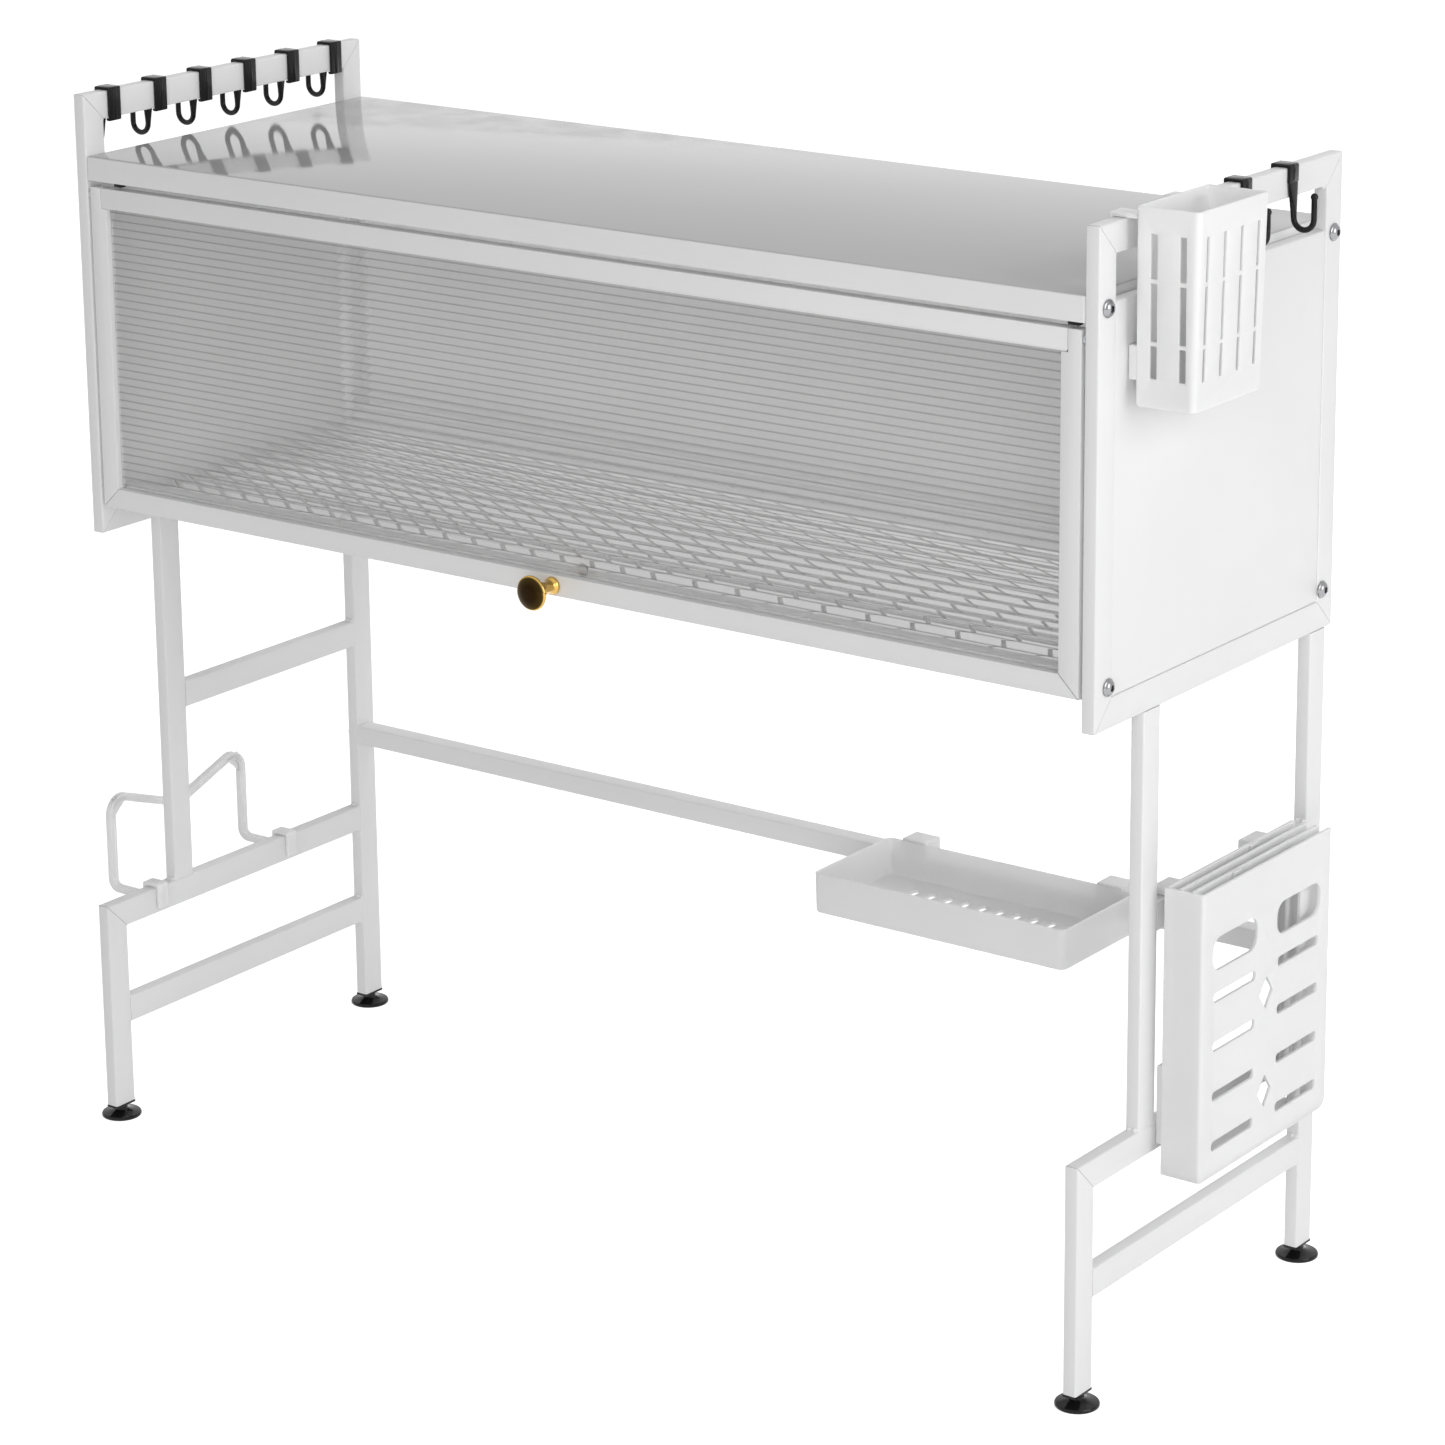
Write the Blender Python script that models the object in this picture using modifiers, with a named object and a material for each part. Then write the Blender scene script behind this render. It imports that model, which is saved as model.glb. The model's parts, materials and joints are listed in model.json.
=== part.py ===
"""Over sink dish rack: a cabinet on two leg frames, with its hooks and hang-on holders.

Metres, +Z up, +X to the right, +Y to the rear. Inside build() everything is placed from the
middle of the cabinet's front plane at worktop level, and one empty then moves the whole rack so
that the world origin is the bottom centre of its outline.
"""
import math

import bmesh
import bpy
from mathutils import Matrix, Vector

# Fits
GAP = 0.0003                    # between pieces that touch
OVERRUN = 0.002                 # how far a cut runs past its face

# Steel tube, sheet and wire
TUBE_W = 0.010                  # across the rack
TUBE_D = 0.020                  # in the plane of a side
TUBE_WALL = 0.001
SHEET = 0.001
PAN_DEPTH = 0.008               # turned-in edge of the side and back panels
WIRE = 0.0022

# Side frames and cabinet
LENGTH = 0.865
DEPTH = 0.302
SIDE_H = 0.325
HAND_GAP = 0.030                # open slot over the side panel
PANEL_INSET = 0.0005
TOP_DROP = 0.044                # top plate below the top of the side frames
TOP_LIP = 0.0175
TOP_BOSS = 0.012
TOP_BOSS_T = 0.008
SHELF_RAIL_T = 0.010
SHELF_RAIL_H = 0.020
SHELF_RAIL_LIFT = 0.018         # rail's underside over the side frame's underside
SHELF_RAIL_BACK = 0.010         # rail's face from the frame's front or rear face
GRID_MARGIN = 0.001
GRID_PITCH_X = 0.050
GRID_PITCH_Y = 0.040

# Leg frames
LEG_H = 0.447
FOOT_H = 0.010
UPPER_LEG_BACK = 0.060          # upper front leg behind the cabinet's front
BASE_STEP = 0.014               # lower front leg in front of it
REAR_LEG_IN = 0.008
BASE_RAIL_TOP = 0.160
LOW_RAIL_TOP = 0.083
HIGH_RAIL_TOP = 0.313
CROSSBAR = 0.015
CROSSBAR_TOP = 0.227
CONNECTOR_EASE = 0.0008          # connector's sides from the tube's bore
CONNECTOR_DOWN = 0.020
CONNECTOR_UP = 0.014
NUT_BLOCK = 0.015               # solid end of a rail or crossbar
VENT_D = 0.004                  # drain hole under a closed tube

# Bolts
BOLT_D = 0.005
BOLT_HEAD_D = 0.012
BOLT_HEAD_H = 0.0035
BOLT_BITE = 0.012               # shank length inside the piece it holds
BOLT_EDGE = 0.010               # upper bolts from the frame's front and rear faces
HEAD_WIDTH_SHARES = (1.0, 0.88, 0.55)
HEAD_HEIGHT_SHARES = (0.25, 0.62, 0.93)

# Feet
FOOT_D = 0.030
FOOT_PAD = 0.0030
FOOT_NECK_D = 0.009
FOOT_STEM_D = 0.005
FOOT_STEM_UP = 0.013            # stem above the underside of the leg
PLUG_FLANGE = 0.0015
PLUG_UP = 0.015

# Door
DOOR_T = 0.0095
DOOR_FACE = 0.015
DOOR_SIDE_GAP = 0.0025
DOOR_TOP_GAP = 0.0045
DOOR_BOTTOM_LIFT = 0.021        # door's lower edge over the side frame's underside
DOOR_LAP = 0.005                # top rail over each stile
DOOR_PANEL_T = 0.003
DOOR_PANEL_IN = 0.004           # panel's front face behind the door's
DOOR_GROOVE = 0.0033
PIVOT_D = 0.004
PIVOT_DOWN = 0.006
PIVOT_BITE = 0.006
PIVOT_COLLAR_D = 0.008
PIVOT_COLLAR_T = 0.0016
KNOB_D = 0.0245
KNOB_BASE_D = 0.013
KNOB_NECK_D = 0.009
KNOB_OUT = 0.027
KNOB_DISC = 0.007
KNOB_FOOT = 0.0024
KNOB_DISC_SHARES = ((0.0, 1.0), (0.5, 0.9), (0.86, 0.67), (1.0, 0.5), (0.86, 0.25))
KNOB_BORE = 0.012
SCREW_D = 0.004
SCREW_HEAD_D = 0.007
SCREW_HEAD_H = 0.0022
BUMPER_D = 0.009
BUMPER_X = 0.020

# Hooks
HOOK_T = 0.002
HOOK_W = 0.012
HOOK_LIP = 0.0025
HOOK_TIE = 0.026                # outer flap below the rail's top
HOOK_WIRE = 0.004
HOOK_BEND = 0.0075
HOOK_DROP = 0.033               # bend's centre below the rail's top
HOOK_TIP = 0.018                # tip's centre below the rail's top
HOOK_BALL_D = 0.0052
HOOK_STEM_WIDTH_SHARE = 0.9     # foot of the tapered stem, of the wire's thickness
HOOK_STEM_DEPTH_SHARE = 0.8
HOOK_BEND_STEPS = 8
LEFT_HOOKS = 6
LEFT_FIRST = 0.030
LEFT_LAST_IN = 0.030
RIGHT_HOOKS = 2
RIGHT_FIRST = 0.174
RIGHT_PITCH = 0.060

# Hang-on holders
WALL = 0.0022
STANDOFF = 0.0075               # holder's inner wall from the frame's outer face
CLIP_T = 0.003
CLIP_DOWN = 0.016

CADDY_X = 0.045
CADDY_Y = 0.085
CADDY_Z = 0.127
CADDY_FRONT = 0.030
CADDY_RISE = 0.009              # rim over the rail's top
CADDY_DRAFT = 0.003
CADDY_CLIP_W = 0.013
CADDY_SLOT_FRONT = 0.006
CADDY_SLOT_SIDE = 0.005
CADDY_TAB_H = 0.022
CADDY_TAB_UP = 0.016
CADDY_FRONT_SHARES = (0.28, 0.76)
CADDY_SIDE_SHARES = (0.14, 0.39, 0.64, 0.89)
CADDY_ROW_SHARES = ((0.13, 0.35), (0.37, 0.66), (0.68, 0.85))
CADDY_CLIP_SHARES = (0.09, 0.84)

BOARD_X = 0.030
BOARD_Y = 0.166
BOARD_Z = 0.199
BOARD_FRONT = 0.075
BOARD_RISE = 0.013
BOARD_PLATE = 0.0024
BOARD_SLOTS = 3
BOARD_CORNER = 0.008
BOARD_CLIP_W = 0.022
BOARD_CLIP_RISE = 0.005
BOARD_TAB_W = 0.008
BOARD_TAB_H = 0.055
BOARD_TAB_UP = 0.018
BOARD_WINDOW_IN = 0.014         # strip left beside the window of each inner plate
BOARD_WINDOW_TOP = 0.027        # and over it
BOARD_WINDOW_LOW = 0.0032       # and under it
BOARD_STEP_IN = 0.009           # the window's upper part stops this far ahead of its lower part
BOARD_STEP_DOWN = 0.101         # from the top to that step
BOARD_HOLE_W = 0.058
BOARD_HOLE_H = 0.023
BOARD_SLOT_W = 0.054
BOARD_SLOT_H = 0.007
BOARD_SLOT_ROUND_SHARE = 0.4    # corner radius, of the slot's height
BOARD_DIAMOND_W = 0.018
BOARD_DIAMOND_H = 0.024
BOARD_COLUMN_SHARES = (0.25, 0.75)
BOARD_HOLE_SHARE = 0.225
BOARD_HOLE_ROUND_SHARE = 0.4    # corner radius, of the hole's height
BOARD_ROW_SHARES = (0.375, 0.545, 0.72, 0.895)
BOARD_DIAMOND_SHARES = (0.46, 0.81)
BOARD_CLIP_SHARES = (0.17, 0.85)

TRAY_X = 0.212
TRAY_Y = 0.096
TRAY_Z = 0.030
TRAY_RIGHT_IN = 0.1225          # from the right leg's inner face
TRAY_RISE = 0.0085              # rim over the crossbar's top
TRAY_CORNER = 0.006
TRAY_CLIP_W = 0.020
TRAY_CLIP_IN = 0.013
TRAY_CLIP_RISE = 0.0095
TRAY_DRAINS = 10
TRAY_DRAIN_W = 0.005
TRAY_DRAIN_L = 0.040
TRAY_DRAIN_PITCH = 0.0146
TRAY_DRAIN_BACK = 0.008          # behind the tray's middle

LID_STRIP = 0.006
LID_T = 0.005
LID_FRONT = 0.043               # front post's centre behind the cabinet's front
LID_SPAN = 0.146
LID_OUT = 0.0385                # strip's middle from the frame's outer face
LID_TOP = 0.072                 # strip's top over the rail's top
LID_DIP = 0.026
LID_ARM_DOWN = 0.010            # arms below the rail's top
LID_CLIP_W = 0.010
LID_CORNER = 0.012
LID_GUSSET = 0.012
LID_GUSSET_T = 0.002

# Heights and faces that several pieces share
LEG_BOTTOM = FOOT_H
SIDE_BOTTOM = FOOT_H + LEG_H
SIDE_TOP = SIDE_BOTTOM + SIDE_H
FACE_OUT = LENGTH / 2
FACE_IN = FACE_OUT - TUBE_W
TOP_Z = SIDE_TOP - TOP_DROP
RAIL_Z = SIDE_BOTTOM + SHELF_RAIL_LIFT
LEG_REAR = DEPTH - REAR_LEG_IN
DOOR_TOP = TOP_Z - TOP_LIP - DOOR_TOP_GAP
DOOR_BOTTOM = SIDE_BOTTOM + DOOR_BOTTOM_LIFT
DOOR_HALF = FACE_IN - DOOR_SIDE_GAP
PIVOT_Z = DOOR_TOP - PIVOT_DOWN
PIVOT_Y = DOOR_T / 2
LOW_BOLT_Y = SHELF_RAIL_BACK + SHELF_RAIL_T / 2
LOW_BOLT_Z = RAIL_Z + SHELF_RAIL_H / 2
TOP_BOLT_Z = TOP_Z - TOP_LIP / 2
CROSSBAR_Z = FOOT_H + CROSSBAR_TOP - CROSSBAR / 2
CROSSBAR_Y = LEG_REAR - TUBE_D + CROSSBAR / 2
OUTLINE_RIGHT = FACE_OUT + STANDOFF + CADDY_X
OUTLINE_LEFT = -FACE_OUT - LID_OUT - LID_T / 2
OUTLINE_FRONT = -KNOB_OUT
OUTLINE_REAR = DEPTH

MATERIALS = {
    "white_steel": ((0.86, 0.86, 0.86, 1.0), 0.38, 0.0),
    "white_sheet": ((0.84, 0.84, 0.84, 1.0), 0.22, 0.0),
    "white_plastic": ((0.88, 0.88, 0.88, 1.0), 0.45, 0.0),
    "black_plastic": ((0.03, 0.03, 0.03, 1.0), 0.40, 0.0),
    "fluted_plastic": ((0.80, 0.82, 0.83, 0.45), 0.15, 0.0),
    "clear_plastic": ((0.90, 0.92, 0.92, 0.35), 0.08, 0.0),
    "gold_brass": ((0.62, 0.42, 0.14, 1.0), 0.18, 1.0),
    "chrome": ((0.75, 0.75, 0.76, 1.0), 0.12, 1.0),
    "zinc_steel": ((0.55, 0.56, 0.58, 1.0), 0.35, 1.0),
}


def make_material(name):
    """One Principled material from the table."""
    color, roughness, metallic = MATERIALS[name]
    material = bpy.data.materials.new(name)
    material.use_nodes = True
    shader = material.node_tree.nodes["Principled BSDF"]
    shader.inputs["Base Color"].default_value = color
    shader.inputs["Roughness"].default_value = roughness
    shader.inputs["Metallic"].default_value = metallic
    shader.inputs["Alpha"].default_value = color[3]
    return material


class Rack:
    """The collections, materials and root empty that every piece uses."""

    def __init__(self):
        scene = bpy.context.scene
        self.pieces = bpy.data.collections.new("over_sink_dish_rack")
        self.cutters = bpy.data.collections.new("cutters")
        scene.collection.children.link(self.pieces)
        scene.collection.children.link(self.cutters)
        self.materials = {name: make_material(name) for name in MATERIALS}
        self.root = bpy.data.objects.new("rack_origin", None)
        middle_x = (OUTLINE_RIGHT + OUTLINE_LEFT) / 2
        middle_y = (OUTLINE_REAR + OUTLINE_FRONT) / 2
        self.root.location = (-middle_x, -middle_y, 0)
        self.pieces.objects.link(self.root)

    def piece(self, name, mesh, material, location=(0, 0, 0), rotation=(0, 0, 0), smooth=False):
        """A visible, named piece."""
        obj = bpy.data.objects.new(name, mesh)
        obj.parent = self.root
        obj.location = location
        obj.rotation_euler = rotation
        self.pieces.objects.link(obj)
        if not mesh.materials:
            mesh.materials.append(self.materials[material])
        if smooth:
            mesh.shade_smooth()
            mesh.set_sharp_from_angle(angle=math.radians(35))
        return obj

    def helper(self, name, mesh, location=(0, 0, 0), rotation=(0, 0, 0)):
        """A hidden shape that another piece is cut by or joined to."""
        obj = bpy.data.objects.new(name, mesh)
        obj.parent = self.root
        obj.location = location
        obj.rotation_euler = rotation
        obj.hide_render = True
        obj.display_type = "WIRE"
        self.cutters.objects.link(obj)
        return obj


def combine(obj, helper, operation):
    """Cut the helper out of the object, or join it on."""
    modifier = obj.modifiers.new(operation.lower() + "_" + helper.name, "BOOLEAN")
    modifier.operation = operation
    modifier.object = helper
    modifier.solver = "EXACT"


def boxes(name, table):
    """One mesh of separate boxes, each given by its lowest and highest corner."""
    shape = bmesh.new()
    for low, high in table:
        size = [b - a for a, b in zip(low, high)]
        middle = [(a + b) / 2 for a, b in zip(low, high)]
        matrix = Matrix.Translation(middle) @ Matrix.Diagonal((*size, 1))
        bmesh.ops.create_cube(shape, size=1, matrix=matrix)
    return finish(name, shape)


def rods(name, table, radius, axis, sides=12):
    """One mesh of separate round bars along an axis, each given by its two end points."""
    turn = {
        "X": Matrix.Rotation(math.pi / 2, 4, "Y"),
        "Y": Matrix.Rotation(-math.pi / 2, 4, "X"),
        "Z": Matrix(),
    }
    shape = bmesh.new()
    for start, end in table:
        start, end = Vector(start), Vector(end)
        matrix = Matrix.Translation((start + end) / 2) @ turn[axis]
        bmesh.ops.create_cone(
            shape, cap_ends=True, segments=sides, radius1=radius, radius2=radius,
            depth=(end - start).length, matrix=matrix)
    return finish(name, shape)


def finish(name, shape):
    """Turn a bmesh into a mesh with its faces pointing out."""
    bmesh.ops.recalc_face_normals(shape, faces=shape.faces)
    mesh = bpy.data.meshes.new(name)
    shape.to_mesh(mesh)
    shape.free()
    return mesh


def fillet(points, radii, steps):
    """A closed outline with some corners rounded; radii holds one radius for each point."""
    result = []
    count = len(points)
    for i, point in enumerate(points):
        here = Vector(point)
        radius = radii[i]
        if radius == 0:
            result.append(here)
            continue
        back = (Vector(points[i - 1]) - here).normalized()
        ahead = (Vector(points[(i + 1) % count]) - here).normalized()
        half = back.angle(ahead) / 2
        reach = radius / math.tan(half)
        centre = here + (back + ahead).normalized() * (radius / math.sin(half))
        start = here + back * reach - centre
        end = here + ahead * reach - centre
        sweep = start.angle_signed(end)
        for k in range(steps + 1):
            turned = start.copy()
            turned.rotate(Matrix.Rotation(-sweep * k / steps, 2))
            result.append(centre + turned)
    return result


def inset(points, wall):
    """A closed outline moved inward by a wall; a negative wall moves it outward."""
    count = len(points)
    spots = [Vector(point) for point in points]
    area = sum(spots[i - 1].cross(spots[i]) for i in range(count))
    turn = 1 if area > 0 else -1
    result = []
    for i, here in enumerate(spots):
        before = (here - spots[i - 1]).normalized()
        after = (spots[(i + 1) % count] - here).normalized()
        inward = Vector((-before.y, before.x)) * turn
        other = Vector((-after.y, after.x)) * turn
        mean = (inward + other).normalized()
        result.append(here + mean * wall / mean.dot(inward))
    return result


def strip(points, width):
    """The outline of a flat strip of even width along an open run of points."""
    left, right = [], []
    for i, point in enumerate(points):
        here = Vector(point)
        ways = []
        if i > 0:
            ways.append((here - Vector(points[i - 1])).normalized())
        if i < len(points) - 1:
            ways.append((Vector(points[i + 1]) - here).normalized())
        normals = [Vector((-way.y, way.x)) for way in ways]
        mean = sum(normals, Vector((0, 0))).normalized()
        reach = width / 2 / mean.dot(normals[0])
        left.append(here + mean * reach)
        right.append(here - mean * reach)
    return left + right[::-1]


def plate(name, outline, thickness, holes=()):
    """A flat outline with holes, given thickness: a filled 2D curve made into a closed mesh."""
    curve = bpy.data.curves.new(name, "CURVE")
    curve.dimensions = "2D"
    curve.fill_mode = "BOTH"
    curve.extrude = thickness / 2
    curve.resolution_u = 1
    for loop in (outline, *holes):
        spline = curve.splines.new("POLY")
        spline.points.add(len(loop) - 1)
        for spot, (x, y) in zip(spline.points, loop):
            spot.co = (x, y, 0, 1)
        spline.use_cyclic_u = True
    return curve_mesh(name, curve)


def tube(name, points, radius, resolution):
    """A round bar with filled ends along an open run of points."""
    curve = bpy.data.curves.new(name, "CURVE")
    curve.dimensions = "3D"
    curve.bevel_depth = radius
    curve.bevel_resolution = resolution
    curve.use_fill_caps = True
    spline = curve.splines.new("POLY")
    spline.points.add(len(points) - 1)
    for spot, point in zip(spline.points, points):
        spot.co = (*point, 1)
    return curve_mesh(name, curve)


def curve_mesh(name, curve):
    """The closed mesh of a curve, with its caps welded on."""
    obj = bpy.data.objects.new(name, curve)
    bpy.context.scene.collection.objects.link(obj)
    graph = bpy.context.evaluated_depsgraph_get()
    mesh = bpy.data.meshes.new_from_object(obj.evaluated_get(graph))
    bpy.data.objects.remove(obj)
    shape = bmesh.new()
    shape.from_mesh(mesh)
    bpy.data.meshes.remove(mesh)
    bmesh.ops.remove_doubles(shape, verts=shape.verts, dist=GAP / 100)
    return finish(name, shape)


def pan(name, low, high, open_side):
    """The five-sided open box between two corners; Solidify gives it its wall."""
    axis = "XYZ".index(open_side[1])
    want = 1 if open_side[0] == "+" else -1
    shape = bmesh.new()
    size = [b - a for a, b in zip(low, high)]
    middle = [(a + b) / 2 for a, b in zip(low, high)]
    matrix = Matrix.Translation(middle) @ Matrix.Diagonal((*size, 1))
    bmesh.ops.create_cube(shape, size=1, matrix=matrix)
    bmesh.ops.recalc_face_normals(shape, faces=shape.faces)
    lid = [face for face in shape.faces if face.normal[axis] * want > 0.5]
    bmesh.ops.delete(shape, geom=lid, context="FACES_ONLY")
    mesh = bpy.data.meshes.new(name)
    shape.to_mesh(mesh)
    shape.free()
    return mesh


def thicken(obj, wall):
    """Give an open surface a wall on its inner side."""
    modifier = obj.modifiers.new("wall", "SOLIDIFY")
    modifier.thickness = wall
    modifier.offset = -1
    modifier.use_even_offset = True


def turned(name, profile):
    """A mesh profile in XZ for a Screw modifier about Z, listed from its top to its bottom."""
    mesh = bpy.data.meshes.new(name)
    points = [(x, 0, z) for x, z in profile]
    mesh.from_pydata(points, [(i, i + 1) for i in range(len(points) - 1)], [])
    return mesh


def lathe(obj, steps):
    """Turn an object's profile about its own Z axis."""
    modifier = obj.modifiers.new("turn", "SCREW")
    modifier.axis = "Z"
    modifier.steps = steps
    modifier.render_steps = steps
    modifier.use_merge_vertices = True
    modifier.merge_threshold = GAP / 100
    modifier.use_normal_calculate = False


def span(middle, width):
    """The two ends of a width about its middle."""
    return middle - width / 2, middle + width / 2


ALONG_X = (math.pi / 2, 0, math.pi / 2)     # a plate's outline in Y and Z, its thickness along X
ALONG_Y = (math.pi / 2, 0, 0)               # a plate's outline in X and Z, its thickness along Y


def rectangle(low_x, low_y, high_x, high_y):
    return [(low_x, low_y), (high_x, low_y), (high_x, high_y), (low_x, high_y)]


def sockets(side, low_z, high_z, ease):
    """The boxes of the two leg connectors on a side, this much inside the tube's bore all round."""
    low_x, high_x = span(side * (FACE_OUT - TUBE_W / 2), TUBE_W - 2 * (TUBE_WALL + ease))
    table = []
    for leg_front in (UPPER_LEG_BACK, LEG_REAR - TUBE_D):
        low = (low_x, leg_front + TUBE_WALL + ease, low_z)
        high = (high_x, leg_front + TUBE_D - TUBE_WALL - ease, high_z)
        table.append((low, high))
    return table


def hollow(rack, obj, name, low, high):
    """Make a bar a closed tube: its bore, short of solid ends, and the drain hole under it."""
    bore_low = (low[0] + NUT_BLOCK, low[1] + TUBE_WALL, low[2] + TUBE_WALL)
    bore_high = (high[0] - NUT_BLOCK, high[1] - TUBE_WALL, high[2] - TUBE_WALL)
    bore = boxes(name + "_bore", [(bore_low, bore_high)])
    combine(obj, rack.helper(name + "_bore", bore), "DIFFERENCE")
    middle_y = (low[1] + high[1]) / 2
    ends = [((0, middle_y, low[2] - OVERRUN), (0, middle_y, low[2] + 2 * TUBE_WALL))]
    vent = rods(name + "_vent", ends, VENT_D / 2, "Z", 8)
    combine(obj, rack.helper(name + "_vent", vent), "DIFFERENCE")


def frame_bolts():
    """The four bolt axes of a side frame, as Y and Z."""
    return {
        "top_front": (BOLT_EDGE, TOP_BOLT_Z),
        "top_rear": (DEPTH - BOLT_EDGE, TOP_BOLT_Z),
        "low_front": (LOW_BOLT_Y, LOW_BOLT_Z),
        "low_rear": (DEPTH - LOW_BOLT_Y, LOW_BOLT_Z),
    }


def build_side_frames(rack):
    """Mitred tube rectangles with their bolt holes, pivot bore and leg sockets."""
    for tag, side in (("left", -1), ("right", 1)):
        outline = rectangle(0, SIDE_BOTTOM, DEPTH, SIDE_TOP)
        window = rectangle(TUBE_D, SIDE_BOTTOM + TUBE_D, DEPTH - TUBE_D, SIDE_TOP - TUBE_D)
        mesh = plate("side_frame_" + tag, outline, TUBE_W, [window])
        middle = side * (FACE_OUT - TUBE_W / 2)
        frame = rack.piece("side_frame_" + tag, mesh, "white_steel", (middle, 0, 0), ALONG_X)
        inside = inset(outline, TUBE_WALL)
        bore = plate("side_bore_" + tag, inside, TUBE_W - 2 * TUBE_WALL, [inset(window, -TUBE_WALL)])
        combine(frame, rack.helper("side_bore_" + tag, bore, (middle, 0, 0), ALONG_X), "DIFFERENCE")
        reach = TUBE_W / 2 + OVERRUN
        table = [((middle - reach, y, z), (middle + reach, y, z)) for y, z in frame_bolts().values()]
        holes = rods("bolt_holes_" + tag, table, BOLT_D / 2 + GAP, "X")
        combine(frame, rack.helper("bolt_holes_" + tag, holes), "DIFFERENCE")
        bore_end = side * (FACE_IN + PIVOT_BITE + GAP)
        bore = [((side * (FACE_IN - OVERRUN), PIVOT_Y, PIVOT_Z), (bore_end, PIVOT_Y, PIVOT_Z))]
        bore_mesh = rods("pivot_seat_" + tag, bore, PIVOT_D / 2 + GAP, "X")
        combine(frame, rack.helper("pivot_seat_" + tag, bore_mesh), "DIFFERENCE")
        low_z, high_z = SIDE_BOTTOM - OVERRUN, SIDE_BOTTOM + TUBE_WALL + OVERRUN
        socket_mesh = boxes("frame_sockets_" + tag, sockets(side, low_z, high_z, CONNECTOR_EASE - GAP))
        combine(frame, rack.helper("frame_sockets_" + tag, socket_mesh), "DIFFERENCE")


def build_panels(rack):
    """Pressed sheet panels that close the two sides and the back."""
    for tag, side in (("left", -1), ("right", 1)):
        outer = side * (FACE_OUT - PANEL_INSET)
        inner = outer - side * PAN_DEPTH
        low = (min(outer, inner), TUBE_D + GAP, SIDE_BOTTOM + TUBE_D + GAP)
        high = (max(outer, inner), DEPTH - TUBE_D - GAP, SIDE_TOP - TUBE_D - HAND_GAP)
        mesh = pan("side_panel_" + tag, low, high, "-X" if side > 0 else "+X")
        thicken(rack.piece("side_panel_" + tag, mesh, "white_steel"), SHEET)
    low = (-FACE_IN + GAP, DEPTH - GAP - PAN_DEPTH, RAIL_Z + SHELF_RAIL_H + GAP)
    high = (FACE_IN - GAP, DEPTH - GAP, TOP_Z - TOP_LIP - GAP)
    mesh = pan("back_panel", low, high, "-Y")
    thicken(rack.piece("back_panel", mesh, "white_steel"), SHEET)


def build_top_plate(rack):
    """The flat sheet, its four turned-down edges, and a weld nut for each upper bolt."""
    edge = FACE_IN - GAP
    bottom, under = TOP_Z - TOP_LIP, TOP_Z - SHEET
    flat = [((-edge, 0, under), (edge, DEPTH, TOP_Z))]
    rack.piece("top_plate", boxes("top_plate", flat), "white_sheet")
    for tag, front in (("front", 0), ("rear", DEPTH - SHEET)):
        lip = [((-edge, front, bottom), (edge, front + SHEET, under - GAP))]
        rack.piece("top_lip_" + tag, boxes("top_lip_" + tag, lip), "white_sheet")
    for tag, side in (("left", -1), ("right", 1)):
        outer, inner = side * edge, side * (edge - SHEET)
        low = (min(outer, inner), SHEET + GAP, bottom)
        high = (max(outer, inner), DEPTH - SHEET - GAP, under - GAP)
        lip = rack.piece("top_lip_" + tag, boxes("top_lip_" + tag, [(low, high)]), "white_sheet")
        nuts, holes = [], []
        for y in (BOLT_EDGE, DEPTH - BOLT_EDGE):
            start = side * (edge - SHEET / 2)
            end = side * (edge - SHEET - TOP_BOSS_T)
            low_y, high_y = span(y, TOP_BOSS)
            low_z, high_z = span(TOP_BOLT_Z, TOP_BOSS)
            nuts.append(((min(start, end), low_y, low_z), (max(start, end), high_y, high_z)))
            mouth = (side * (FACE_IN + OVERRUN), y, TOP_BOLT_Z)
            holes.append((mouth, (end - side * OVERRUN, y, TOP_BOLT_Z)))
        combine(lip, rack.helper("top_weld_nuts_" + tag, boxes("top_weld_nuts_" + tag, nuts)), "UNION")
        holes_mesh = rods("top_bolt_holes_" + tag, holes, BOLT_D / 2 + GAP, "X")
        combine(lip, rack.helper("top_bolt_holes_" + tag, holes_mesh), "DIFFERENCE")


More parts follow.
